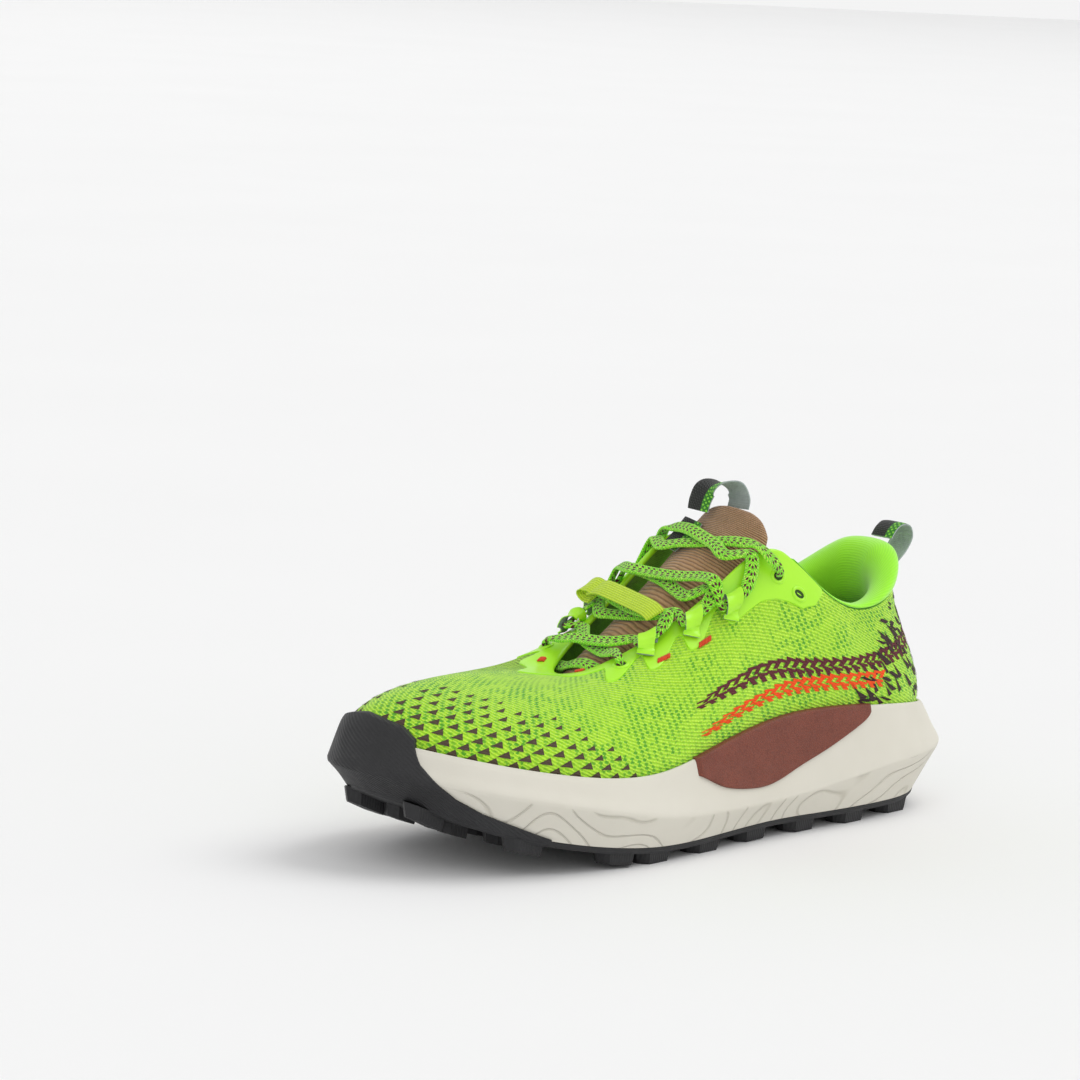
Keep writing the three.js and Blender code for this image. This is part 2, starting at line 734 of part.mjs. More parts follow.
// Lace loops: short folded tapes that come out from under the film at the throat's edge.
const LOOPS = [
  { number: 1, u: 0.339, v: 0.89 },
  { number: 2, u: 0.299, v: 0.86 },
  { number: 3, u: 0.265, v: 0.8 },
];
const LOOP_WIDTH = 7;

// Point near (u, v) on the upper: reach towards the throat edge, h above the outer face.
function onUpper(u, v, reach, h) {
  const inwards = upperPoint(u, v + 0.02).sub(upperPoint(u, v - 0.02)).normalize();
  return upperOffset(u, v, h).addScaledVector(inwards, reach);
}

const LOOP_PATH = [[-5.5, 1.9], [-3.2, 2.5], [-1.8, 4.2], [0.4, 5.7], [3.4, 5.9], [5.7, 4.5],
  [5.4, 2.6], [2.8, 1.9]];
const TAPE_THICK = 0.8;

function loopBody({ u, v }, place, grow = 0) {
  const path = LOOP_PATH.map(([reach, h]) => onUpper(place(u), v, reach, h).toArray());
  const wide = onUpper(place(u - 0.01), v, 0, 0).sub(onUpper(place(u + 0.01), v, 0, 0)).toArray();
  return stripBody(path, path.map(() => wide), LOOP_WIDTH + 2 * grow, TAPE_THICK + 2 * grow, 16);
}

function tackBody({ number, u, v }, place, grow = 0) {
  const base = number === 3 ? onShell + FILM + 0.3 : onShell;
  const middle = place(u);
  const reach = 0.0075 + grow * 0.002;
  const low = v - 0.022 - grow * 0.02;
  const high = v + 0.022 + grow * 0.02;
  return overlay(middle - reach, middle + reach, 2, () => low, () => high, 1,
    base - grow, base + 0.6 + grow);
}

// Orange bar tacks where each loop's tape is sewn to the quarter.
const TACKS = [
  { number: 1, u: 0.3225, v: 0.75 },
  { number: 2, u: 0.2865, v: 0.71 },
  { number: 3, u: 0.412, v: 0.93 },
];

for (const side of sides) {
  for (const loop of LOOPS) {
    addPiece(`lace_loop_${side.name}_${loop.number}`, loopBody(loop, side.u), COLOURS.tip);
  }
  for (const tack of TACKS) {
    addPiece(`bar_tack_${side.name}_${tack.number}`, tackBody(tack, side.u), COLOURS.thread);
  }
}

// Film along the flaps, opened where the loops and tacks pass through it.
const films = {};
for (const side of sides) {
  const place = (u) => (side.sign > 0 ? u : 1 - u);
  let film = toSolid(overlay(side.u(FLAP_FROM), side.u(FLAP_TO), 40,
    (u) => flapLowEdge(place(u)), () => 1, 4, onShell, onShell + FILM));
  for (const hole of PUNCHED) {
    film = film.subtract(punch(side.u(hole.u), hole.v));
  }
  for (const loop of LOOPS) {
    film = film.subtract(toSolid(loopBody(loop, side.u, GAP)));
  }
  for (const tack of TACKS) {
    film = film.subtract(toSolid(tackBody(tack, side.u, GAP)));
  }
  films[side.name] = film;
  addPiece(`eyestay_${side.name}`, toGeometry(film), COLOURS.film, 0.45);
}

// ---------- tongue ----------

const TONGUE_PATH = [
  [0, -57, 55], [0, -46, 61.7], [0, -30, 72.6], [0, -12, 85.1], [0, 6, 98], [0, 20, 108.5],
  [0, 30, 116.5], [0, 36, 122.5], [0, 39.5, 129],
];
const TONGUE_WIDTHS = [12, 15, 20, 23, 25, 25, 24, 21, 13];
const TONGUE_CROWNS = [2, 4, 8, 11, 11, 10, 8, 6, 3];
const TONGUE_SPLIT = 0.72; // where the free top part begins to bend
const tongueLine = new THREE.CatmullRomCurve3(TONGUE_PATH.map((p) => new THREE.Vector3(...p)));

function alongTongue(values, t) {
  const place = t * (values.length - 1);
  const i = Math.min(Math.floor(place), values.length - 2);
  return lerp(values[i], values[i + 1], place - i);
}

function tongueFrame(t) {
  const along = tongueLine.getTangent(t);
  const front = new THREE.Vector3(0, -along.z, along.y).normalize();
  return { middle: tongueLine.getPoint(t), along, front };
}

// Point on the tongue: s from -1 (medial edge) to 1, h above its middle surface.
function tonguePoint(t, s, h) {
  const { middle, front } = tongueFrame(t);
  const drop = alongTongue(TONGUE_CROWNS, t) * s * s;
  return middle.addScaledVector(front, h - drop)
    .add(new THREE.Vector3(s * alongTongue(TONGUE_WIDTHS, t), 0, 0));
}

function tongueBody(from, to, steps) {
  const across = range(8, -1, 1);
  const outer = [];
  const inner = [];
  for (const t of range(steps, from, to)) {
    const thick = lerp(1.6, 3.6, smooth(t, 0, 0.5)) * (1 - 0.35 * smooth(t, 0.9, 1));
    const edgeThin = (s) => 1 - 0.45 * s * s;
    outer.push(across.map((s) => tonguePoint(t, s, thick * edgeThin(s) / 2)));
    inner.push(across.map((s) => tonguePoint(t, s, -thick * edgeThin(s) / 2)));
  }
  return sheetBody(outer, inner);
}

const TONGUE_GAP = 0.008; // clearance either side of the bend, as a share of its length
addPiece('tongue_lower', tongueBody(0, TONGUE_SPLIT - TONGUE_GAP, 16), COLOURS.knit);
addPiece('tongue_upper', tongueBody(TONGUE_SPLIT + TONGUE_GAP, 1, 9), COLOURS.knit);

// Webbing label sewn up the medial half of the tongue's front.
function labelBody(grow = 0) {
  return stripBody(
    [[-17.5, 22.5, 110.8], [-16, 26.5, 114.6], [-14.6, 30, 118.4], [-13.8, 32.6, 122]],
    [[1, 0.1, 0.25], [1, 0.1, 0.2], [1, 0.1, 0.15], [1, 0, 0.1]],
    WEBBING_WIDTH + 2 * grow, WEBBING_THICK + 2 * grow, 8);
}

addPiece('tongue_label', labelBody(), COLOURS.webbing);

// Pull loop at the tongue's top: up in line with the label, over and down behind.
addPiece('tongue_pull_loop', stripBody(
  [[-13.2, 34, 126], [-13, 35.3, 131], [-12, 37.5, 135.2], [-8.5, 41.5, 137.2],
    [-4.5, 45.6, 135.8], [-2.6, 47, 131.5], [-2.4, 46.2, 127.5]],
  [[1, 0, 0.1], [1, 0.1, 0.1], [1, 0.2, 0.1], [1, 0.1, 0.1], [1, 0.1, 0.05], [1, 0, 0], [1, 0, 0]],
  WEBBING_WIDTH, WEBBING_THICK, 14), COLOURS.webbing);

// Pull loop at the heel, sewn outside the collar.
addPiece('heel_pull_loop', stripBody(
  [[0, 128.5, 110.5], [0, 131, 113.8], [0, 135, 116], [0, 139.5, 114.8], [0, 141, 110.5],
    [0, 138, 105.2], [0, 133, 100.6]],
  range(6, 0, 1).map(() => [1, 0, 0]), WEBBING_WIDTH, WEBBING_THICK, 14), COLOURS.webbing);

// ---------- lace ----------

// The lace is one flat cord. Its route runs from the lateral tail, tucked inside, out of the
// top lateral hole, criss-cross down to the lowest holes, under the throat as the bar, back
// up over the first half and in at the top medial hole.
const TAIL_OUT = [
  [17, 58, 82], [19, 54, 90], [22.5, 47, 98], [25.2, 41, 102.6], [27.8, 38.1, 104.2],
  [30.4, 37.6, 105], [33.2, 37, 106.4], [34.2, 34.6, 109.6], [32.4, 31.4, 113.6], [27.6, 30.2, 117],
];
const [LATERAL, MEDIAL] = sides;

// Three places through a loop, towards the toe (way 1) or the heel (way -1).
function through(side, { u, v }, way) {
  return [-way, 0, way].map((step) => {
    const place = side.u(u + step * 0.0085);
    return { at: onUpper(place, v, 2.1, 3.95), normal: upperNormal(place, v) };
  });
}

// A place just over the edge of a flap.
function overEdge(side, u, rise = 2.8) {
  const place = side.u(u);
  return { at: onUpper(place, 1, 1.4, rise), normal: upperNormal(place, 0.98) };
}

const DOWN = [
  [20, 28.6, 117.8], [10, 26.4, 117.2], [0, 24, 115.4], [-10, 21.8, 114], [-19, 20, 112],
  overEdge(MEDIAL, LOOPS[2].u - 0.016, 3.4), ...through(MEDIAL, LOOPS[2], 1),
  overEdge(MEDIAL, LOOPS[2].u + 0.016), [-20, 7.2, 102.8], [-10, 6.2, 102.2], [0, 4.9, 100.9],
  [10, 3, 98.4], [16.6, 1.8, 97.8], overEdge(LATERAL, LOOPS[1].u - 0.017),
  ...through(LATERAL, LOOPS[1], 1), overEdge(LATERAL, LOOPS[1].u + 0.015),
  [12, -10.6, 90.4], [0, -12.2, 88.5], [-10, -13.6, 87.6], [-16.6, -14.2, 87.4],
  overEdge(MEDIAL, LOOPS[0].u - 0.017), ...through(MEDIAL, LOOPS[0], 1),
  overEdge(MEDIAL, LOOPS[0].u + 0.014), [-9, -28.8, 79], [0, -30.3, 76.8], [7, -32, 76.4],
  [12.4, -33.2, 77.4], [17.2, -35, 77.6],
];
const BAR = [
  [20.4, -36.8, 76.4], [20.9, -36.2, 73.8], [20, -35, 70.6], [17.2, -35.4, 68.4],
  [13, -36, 68], [6, -36.8, 70.3], [0, -37, 71.3], [-6, -36.8, 70.3], [-13, -36, 68],
  [-19.2, -34.8, 68], [-23.6, -33.8, 69.8], [-25.1, -34.4, 73.2], [-25, -35.6, 76.2],
];
const OVER = 4.9; // height at which the upper strands pass the edges
const UP = [
  [-22.4, -35.4, 77.6], [-17.4, -33.8, 78.4], [-12.4, -32.6, 79.4], [-6, -31.4, 79.7],
  [0, -30.4, 79.9], [7, -28.8, 80.6], overEdge(LATERAL, LOOPS[0].u + 0.014),
  ...through(LATERAL, LOOPS[0], -1), overEdge(LATERAL, LOOPS[0].u - 0.016, OVER),
  [10, -14, 91.4], [0, -12.3, 91.4], [-10, -10.4, 92.6], [-17, -9, 93.8],
  overEdge(MEDIAL, LOOPS[1].u + 0.016, OVER), ...through(MEDIAL, LOOPS[1], -1),
  overEdge(MEDIAL, LOOPS[1].u - 0.016, OVER + 0.8), [-19, 3.2, 103.8], [-10, 4.4, 103.6],
  [0, 5.2, 103.7], [10, 6.4, 104.4], [18, 7.4, 105.4], overEdge(LATERAL, LOOPS[2].u + 0.0165, OVER + 1.8),
  ...through(LATERAL, LOOPS[2], -1), overEdge(LATERAL, LOOPS[2].u - 0.015),
  [19, 19.6, 113.4], [10, 22, 116.2], [0, 24.2, 118], [-10, 26.4, 119.4], [-20, 28.8, 118.8],
];
const TAIL_IN = [
  [-27.4, 30.2, 117.2], [-32.4, 32.4, 112.6], [-34.2, 35.2, 107.6], [-32.4, 36.8, 104.8],
  [-28.3, 36.9, 103.8], [-25.4, 38.1, 103.2], [-23, 42, 101], [-21, 48, 95], [-19, 54, 87],
  [-18, 58, 80],
];

// The face of the tongue and flaps turns outwards either side of the middle.
const faceNormal = (x) => new THREE.Vector3(x * 0.018, -0.55, 0.83);
const LACE_ROUTE = [...TAIL_OUT, ...DOWN, ...BAR, ...UP, ...TAIL_IN].map((stop) => (
  Array.isArray(stop) ? { at: new THREE.Vector3(...stop), normal: faceNormal(stop[0]) } : stop));
const PINCHED = 0.56; // share of its width that the lace keeps in a loop or hole

// Direction across the lace at a route point: level on the tongue and loops, and constant
// where it dives through a hole.
function laceAcross(i) {
  const dive = TAIL_OUT.length + DOWN.length;
  if (i < TAIL_OUT.length || i >= LACE_ROUTE.length - TAIL_IN.length) {
    return new THREE.Vector3(0, -1, 0);
  }
  if (i >= dive && i < dive + BAR.length) {
    return new THREE.Vector3(0, 0.83, 0.55);
  }
  const along = LACE_ROUTE[i + 1].at.clone().sub(LACE_ROUTE[i - 1].at).normalize();
  return LACE_ROUTE[i].normal.clone().cross(along).normalize();
}

function laceWidth(point) {
  const tight = [];
  for (const side of sides) {
    for (const loop of LOOPS) {
      tight.push(onUpper(side.u(loop.u), loop.v, 2.1, 3.95));
    }
    for (const hole of PUNCHED) {
      tight.push(upperPoint(side.u(hole.u), hole.v));
    }
  }
  const nearest = Math.min(...tight.map((place) => place.distanceTo(point)));
  return LACE_WIDTH * lerp(PINCHED, 1, smooth(nearest, 4.5, 10));
}

const laceLine = new THREE.CatmullRomCurve3(LACE_ROUTE.map((stop) => stop.at));
const laceTurn = new THREE.CatmullRomCurve3(LACE_ROUTE.map((_, i) => laceAcross(i)));

// Section of the lace at t along its route, at scale times its full size.
function laceRing(t, scale = 1) {
  const middle = laceLine.getPoint(t);
  const along = laceLine.getTangent(t);
  const side = laceTurn.getPoint(t);
  side.addScaledVector(along, -along.dot(side)).normalize();
  const up = along.clone().cross(side);
  const half = laceWidth(middle) / 2 * scale;
  const thick = LACE_THICK / 2 * scale;
  return [[-half, thick], [half, thick], [half, -thick], [-half, -thick]]
    .map(([s, h]) => middle.clone().addScaledVector(side, s).addScaledVector(up, h));
}

const LACE_STEPS = 220;
let laceSolid = toSolid(ringBody(range(LACE_STEPS, 0.03, 0.97).map((t) => laceRing(t))));
laceSolid = laceSolid.subtract(toSolid(labelBody(GAP)));
laceSolid = laceSolid.subtract(films.medial.translate([0, 0, GAP / 2]));
// The loops press a little into it.
for (const side of sides) {
  for (const loop of LOOPS) {
    laceSolid = laceSolid.subtract(toSolid(loopBody(loop, side.u, GAP)));
  }
}
laceSolid = laceSolid.decompose().sort((a, b) => b.volume() - a.volume())[0];
addPiece('lace', toGeometry(laceSolid), COLOURS.lace);

// Moulded tips on the two ends of the lace.
addPiece('aglet_lateral', ringBody(range(4, 0, 0.0285).map((t) => laceRing(t, 0.8))), COLOURS.tip);
addPiece('aglet_medial', ringBody(range(4, 0.9715, 1).map((t) => laceRing(t, 0.8))), COLOURS.tip);

// Elastic band over the lace between the second and third rows, which holds the tied bow.
addPiece('lace_keeper', stripBody(
  [[-24.5, -11.5, 95.8], [-18, -12.4, 97.2], [-9, -13.4, 96.6], [0, -14.4, 95.6],
    [9, -15.6, 94.6], [15, -16.4, 93.6], [19, -17, 92]],
  range(6, 0, 1).map(() => [0.12, 0.8, 0.55]), 8.5, 1.1, 14), COLOURS.elastic);

export default shoe;
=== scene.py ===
"""Trail running shoe, left foot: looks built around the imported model, in metres."""
import math

import bmesh
import bpy
import numpy as np
from mathutils import Matrix, Vector


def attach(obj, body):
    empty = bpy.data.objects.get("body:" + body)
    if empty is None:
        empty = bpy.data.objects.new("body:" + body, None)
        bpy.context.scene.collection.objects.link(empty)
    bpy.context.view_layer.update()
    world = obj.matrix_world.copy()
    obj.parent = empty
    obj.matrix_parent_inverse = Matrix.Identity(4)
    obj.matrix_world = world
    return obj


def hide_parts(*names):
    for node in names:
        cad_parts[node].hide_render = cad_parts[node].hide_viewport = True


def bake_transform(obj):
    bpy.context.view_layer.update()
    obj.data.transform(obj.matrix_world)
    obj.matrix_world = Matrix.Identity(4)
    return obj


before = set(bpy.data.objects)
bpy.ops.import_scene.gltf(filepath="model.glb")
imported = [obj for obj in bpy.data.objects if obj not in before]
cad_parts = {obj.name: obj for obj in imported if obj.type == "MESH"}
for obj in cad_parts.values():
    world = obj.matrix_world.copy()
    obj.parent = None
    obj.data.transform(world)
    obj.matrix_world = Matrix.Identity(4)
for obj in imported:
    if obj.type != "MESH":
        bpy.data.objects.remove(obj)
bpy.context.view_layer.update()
rng = np.random.default_rng(7)

# ---------- camera ----------

AZIMUTH, ELEVATION, ROLL = math.radians(47), math.radians(10.5), math.radians(2.54)
CAMERA_DISTANCE = 1.700
SHIFT = np.array([-1.5, -1.5, 0.0])  # the tables' origin against the frame's, in mm


def metres(points):
    return (np.asarray(points, float) + SHIFT) * 0.001


right = Vector((math.cos(AZIMUTH), math.sin(AZIMUTH), 0))
toward = Vector((math.sin(AZIMUTH) * math.cos(ELEVATION), -math.cos(AZIMUTH) * math.cos(ELEVATION),
                 math.sin(ELEVATION)))
up = toward.cross(right)
right, up = (right * math.cos(ROLL) + up * math.sin(ROLL), up * math.cos(ROLL) - right * math.sin(ROLL))
camera_data = bpy.data.cameras.new("camera")
camera_data.lens = 141.06
camera_data.sensor_width = 36
camera_data.shift_x, camera_data.shift_y = -0.1029, 0.1323
camera_data.clip_start, camera_data.clip_end = 0.05, 50
camera = bpy.data.objects.new("camera", camera_data)
bpy.context.scene.collection.objects.link(camera)
place = Matrix((right, up, toward)).transposed().to_4x4()
place.translation = Vector(metres([0, 0, 60])) + toward * CAMERA_DISTANCE
camera.matrix_world = place
bpy.context.scene.camera = camera

# ---------- the shoe's measured stations, in mm ----------

STATION_NAMES = ["x", "y", "tread", "crease", "top", "base_inset", "top_inset"]
STATIONS = [
    [2, 150, 6.4, 27, 43, 12, 9], [24, 144, 5.6, 27.5, 43.5, 11, 8.5], [39, 122, 4.8, 27, 46, 8, 7],
    [44, 92, 4.7, 24.5, 48.5, 6, 6], [45, 60, 4.9, 20.4, 50, 5, 5.5], [47, 30, 5.2, 18.2, 48.5, 5, 5.5],
    [52, -5, 4.4, 18.4, 42, 5, 6], [56, -40, 4.6, 20.4, 35.8, 5, 6.5], [54, -78, 9.2, 27, 38.2, 5, 6.5],
    [42, -112, 16.5, 33.5, 44, 6, 6], [20, -137, 25, 39, 49.5, 8, 4.5], [-10, -148, 28.5, 41, 52, 9, 3.5],
    [-33, -137, 25, 39, 49.5, 8, 4], [-47, -112, 16.5, 33, 44.5, 6, 6], [-53, -78, 9.2, 27, 39.5, 5, 6.5],
    [-51, -42, 4.8, 21.5, 37.5, 5, 6.5], [-43, -6, 4.5, 19.5, 39, 5, 5.5], [-37, 28, 5.2, 19.5, 42, 4, 4],
    [-37, 62, 5, 21.5, 44, 4, 4.5], [-40, 95, 4.7, 24.5, 45.5, 6, 6], [-36, 124, 4.8, 27, 45, 8, 7],
    [-21, 144, 5.6, 27.5, 43.5, 11, 8.5],
]
EDGE_NAMES = ["x", "y", "z", "foot_out", "foot_up", "edge_out", "edge_down"]
EDGES = [
    [0, 123, 100, 4, 20, -1, 22], [15, 119, 98, 4, 20, 1, 22], [28, 105, 91, 4, 16, 4, 16],
    [33, 84, 88, 4, 14, 5, 14], [32, 62, 98, 4, 15, 6, 16], [28, 38, 115, 4, 18, 8, 22],
    [24, 14, 103, 4, 20, 12, 18], [20, -8, 88, 4, 20, 16, 12], [14, -27, 77, 5, 20, 22, 6],
    [8, -41, 70, 5, 20, 28, -2], [2, -46, 67.5, 4, 21, 34, -6], [-3, -47, 67, 3, 24, 36, -7],
    [-9, -45, 67.5, 4, 21, 34, -6], [-15, -38, 70, 5, 20, 28, -2], [-20, -25, 77, 5, 20, 22, 6],
    [-25, -6, 88, 4, 22, 14, 14], [-28, 15, 102, 4, 20, 10, 20], [-28, 38, 114, 4, 18, 7, 22],
    [-31, 62, 98, 4, 15, 5, 16], [-32, 84, 89, 4, 14, 4, 14], [-27, 105, 91, 4, 16, 3, 16],
    [-15, 119, 98, 4, 20, 0, 22],
]
GAP, SHELL, RUBBER, LUG, BUMPER = 0.3, 1.8, 2.5, 4.7, 2.1
RIM_DEPTH, RIM_WIDTH = 4, 1.6


def periodic(values):
    """Smooth closed curve through one column of a table, for u from 0 (heel) round to 1."""
    v = np.array(values, float)
    s = np.zeros(len(v))
    for _ in range(60):
        s = 0.5 * s + 0.125 * (3 * (np.roll(v, -1) - np.roll(v, 1)) - np.roll(s, 1) - np.roll(s, -1))

    def at(u):
        t = np.mod(np.asarray(u, float), 1.0) * len(v)
        i = np.floor(t).astype(int) % len(v)
        j = (i + 1) % len(v)
        f = t - np.floor(t)
        g = 1 - f
        return (v[i] * (1 + 2 * f) * g * g + v[j] * f * f * (3 - 2 * f)
                + s[i] * f * g * g - s[j] * f * f * g)
    return at


plan = {n: periodic([row[k] for row in STATIONS]) for k, n in enumerate(STATION_NAMES)}
edge = {n: periodic([row[k] for row in EDGES]) for k, n in enumerate(EDGE_NAMES)}


def stack(x, y, z):
    return np.stack(np.broadcast_arrays(x, y, z), -1).astype(float)


def unit(v):
    return v / np.maximum(np.linalg.norm(v, axis=-1, keepdims=True), 1e-9)


def smooth(x, low, high):
    t = np.clip((np.asarray(x, float) - low) / (high - low), 0, 1)
    return t * t * (3 - 2 * t)


def lerp(a, b, t):
    return a + (b - a) * t


def outward(u):
    dx = plan["x"](u + 0.002) - plan["x"](u - 0.002)
    dy = plan["y"](u + 0.002) - plan["y"](u - 0.002)
    return unit(stack(-dy, dx, 0))


def wall(u, inset, z):
    out = outward(u)
    return stack(plan["x"](u) - out[..., 0] * inset, plan["y"](u) - out[..., 1] * inset, z)


def edge_point(u):
    return stack(edge["x"](u), edge["y"](u), edge["z"](u))


def upper(u, v):
    """Outer face of the upper: v from the feather line (0) to the opening's edge (1)."""
    u, v = np.broadcast_arrays(np.asarray(u, float), np.asarray(v, float))
    top = plan["top"](u)
    foot = wall(u, plan["top_inset"](u) + RIM_WIDTH + 1.2, top - RIM_DEPTH + GAP + 0.1)
    rim = edge_point(u)
    lean = unit((foot - rim) * [1, 1, 0])
    a = foot + outward(u) * edge["foot_out"](u)[..., None]
    a[..., 2] += edge["foot_up"](u)
    b = rim + lean * edge["edge_out"](u)[..., None]
    b[..., 2] -= edge["edge_down"](u)
    v = v[..., None]
    w = 1 - v
    return foot * w ** 3 + a * 3 * w * w * v + b * 3 * w * v * v + rim * v ** 3


def upper_normal(u, v):
    low, high = np.maximum(0, np.asarray(v) - 0.004), np.minimum(1, np.asarray(v) + 0.004)
    return -unit(np.cross(upper(u + 0.004, v) - upper(u - 0.004, v), upper(u, high) - upper(u, low)))


def upper_off(u, v, distance):
    return upper(u, v) + upper_normal(u, v) * np.asarray(distance, float)[..., None]


def grid(us, vs):
    return np.meshgrid(us, vs, indexing="ij")


def lateral(u):
    return u


def medial(u):
    return 1 - u


SIDES = {"lateral": lateral, "medial": medial}

# ---------- mesh builders ----------


def build(name, patches, sharp=40, weld=2e-6):
    """One mesh from grids of points (mm). Each patch is (points, uv, material index)."""
    points, faces, uvs, slots, base = [], [], [], [], 0
    for patch in patches:
        grid_points, uv, slot = patch
        n, m = grid_points.shape[:2]
        index = base + np.arange(n * m).reshape(n, m)
        quads = np.stack([index[:-1, :-1], index[1:, :-1], index[1:, 1:], index[:-1, 1:]], -1)
        faces.append(quads.reshape(-1, 4))
        points.append(grid_points.reshape(-1, 3))
        uvs.append(uv.reshape(-1, 2))
        slots.append(np.full(len(faces[-1]), slot))
        base += n * m
    points, faces, uvs = metres(np.concatenate(points)), np.concatenate(faces), np.concatenate(uvs)
    mesh = bpy.data.meshes.new(name)
    mesh.vertices.add(len(points))
    mesh.vertices.foreach_set("co", points.ravel())
    mesh.loops.add(faces.size)
    mesh.loops.foreach_set("vertex_index", faces.ravel().astype(np.int32))
    mesh.polygons.add(len(faces))
    mesh.polygons.foreach_set("loop_start", np.arange(0, faces.size, 4, dtype=np.int32))
    mesh.polygons.foreach_set("material_index", np.concatenate(slots).astype(np.int32))
    mesh.update(calc_edges=True)
    layer = mesh.uv_layers.new(name="surface")
    layer.data.foreach_set("uv", uvs[faces.ravel()].ravel())
    work = bmesh.new()
    work.from_mesh(mesh)
    bmesh.ops.remove_doubles(work, verts=work.verts, dist=weld)
    flat = [f for f in work.faces if f.calc_area() < 1e-13]
    bmesh.ops.delete(work, geom=flat, context="FACES_ONLY")
    bmesh.ops.recalc_face_normals(work, faces=work.faces)
    work.to_mesh(mesh)
    work.free()
    mesh.shade_smooth()
    mesh.set_sharp_from_angle(angle=math.radians(sharp))
    obj = bpy.data.objects.new(name, mesh)
    bpy.context.scene.collection.objects.link(obj)
    return obj


def lengths(points, axis):
    """Running length along an axis of a grid, in mm."""
    step = np.linalg.norm(np.diff(points, axis=axis), axis=-1)
    start = np.zeros_like(np.take(step, [0], axis))
    return np.concatenate([start, np.cumsum(step, axis)], axis)


def surface_uv(points, across_from=0.35):
    """Lengths in mm: round the shoe at one level, and up the surface."""
    row = int(points.shape[1] * across_from)
    around = lengths(points, 0)[:, row][:, None] + np.zeros(points.shape[1])
    return np.stack([around, lengths(points, 1)], -1)


def slab(outer, inner, uv=None, inside_slot=0, loop=False, ends=True):
    """Patches of a closed sheet between two grids of the same size."""
    uv = surface_uv(outer) if uv is None else uv
    patches = [(outer, uv, 0), (inner, uv, inside_slot)]
    for k in (0, -1):
        patches.append((np.stack([outer[:, k], inner[:, k]], 1), np.stack([uv[:, k]] * 2, 1), 0))
        if ends and not loop:
            patches.append((np.stack([outer[k], inner[k]], 0), np.stack([uv[k]] * 2, 0), 0))
    return patches


def end_caps(rings, centres, uv):
    """Patches that close the first and last ring of a body onto their centres."""
    return [(np.stack([rings[k], np.broadcast_to(centres[k], rings[k].shape)]), np.stack([uv[k]] * 2), 0)
            for k in (0, -1)]


def pillow(count_u, count_v, edge_share_u=0.03, edge_share_v=0.12, closed_u=False):
    """0 at the rim of a grid and 1 inside, with a round shoulder."""
    def ramp(n, share):
        t = np.linspace(0, 1, n)
        d = np.clip(np.minimum(t, 1 - t) / share, 0, 1)
        return np.sqrt(1 - (1 - d) ** 2)
    a = np.ones(count_u) if closed_u else ramp(count_u, edge_share_u)
    return a[:, None] * ramp(count_v, edge_share_v)[None, :]


def crowded(n, low=0.0, high=1.0):
    """Parameters crowded towards both ends."""
    t = np.linspace(0, 1, n)
    return low + (high - low) * (0.5 - 0.5 * np.cos(np.pi * t)) * 0.6 + (high - low) * t * 0.4


def catmull(points, count, spread=None):
    """Centripetal curve through points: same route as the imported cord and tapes."""
    p = np.asarray(points, float)
    n = len(p) - 1
    t = np.linspace(0, 1, count) if spread is None else np.asarray(spread, float)
    f = np.clip(t, 0, 1) * n
    i = np.minimum(np.floor(f).astype(int), n - 1)
    w = (f - i)[:, None]
    before = np.where((i > 0)[:, None], p[np.maximum(i - 1, 0)], 2 * p[0] - p[1])
    a, b = p[i], p[i + 1]
    after = np.where((i < n - 1)[:, None], p[np.minimum(i + 2, n)], 2 * p[n] - p[n - 1])

    def gap(s, e):
        return np.maximum(np.linalg.norm(e - s, axis=1, keepdims=True) ** 0.5, 1e-4)
    d0, d1, d2 = gap(before, a), gap(a, b), gap(b, after)
    m0 = ((a - before) / d0 - (b - before) / (d0 + d1) + (b - a) / d1) * d1
    m1 = ((b - a) / d1 - (after - a) / (d1 + d2) + (after - b) / d2) * d1
    return ((2 * a - 2 * b + m0 + m1) * w ** 3 + (3 * b - 3 * a - 2 * m0 - m1) * w * w + m0 * w + a)


def strip(path, wide, width, thick, count=120, bulge=0.5, across=9):
    """Patches of a tape along a path; the outer and inner faces are slots 0 and 1."""
    line = catmull(path, count)
    along = unit(np.gradient(line, axis=0))
    side = catmull(np.broadcast_to(wide, (len(path), 3)) if np.ndim(wide) == 1 else wide, count)
    side = unit(side - along * (side * along).sum(1, keepdims=True))
    face = unit(np.cross(along, side))
    s = np.linspace(-1, 1, across)
    height = thick / 2 * (1 - bulge * np.abs(s) ** 6)
    out = line[:, None] + side[:, None] * (s * width / 2)[:, None] + face[:, None] * height[:, None]
    inn = line[:, None] + side[:, None] * (s * width / 2)[:, None] - face[:, None] * height[:, None]
    run = lengths(line[:, None], 0)[:, 0]
    uv = np.stack(np.meshgrid(run, s * width / 2, indexing="ij"), -1)
    return slab(out, inn, uv, inside_slot=1)


# ---------- materials ----------


def colour(hex_code):
    """Linear RGBA of an sRGB hex colour."""
    c = [int(hex_code[i:i + 2], 16) / 255 for i in (0, 2, 4)]
    return tuple(x / 12.92 if x <= 0.04045 else ((x + 0.055) / 1.055) ** 2.4 for x in c) + (1.0,)


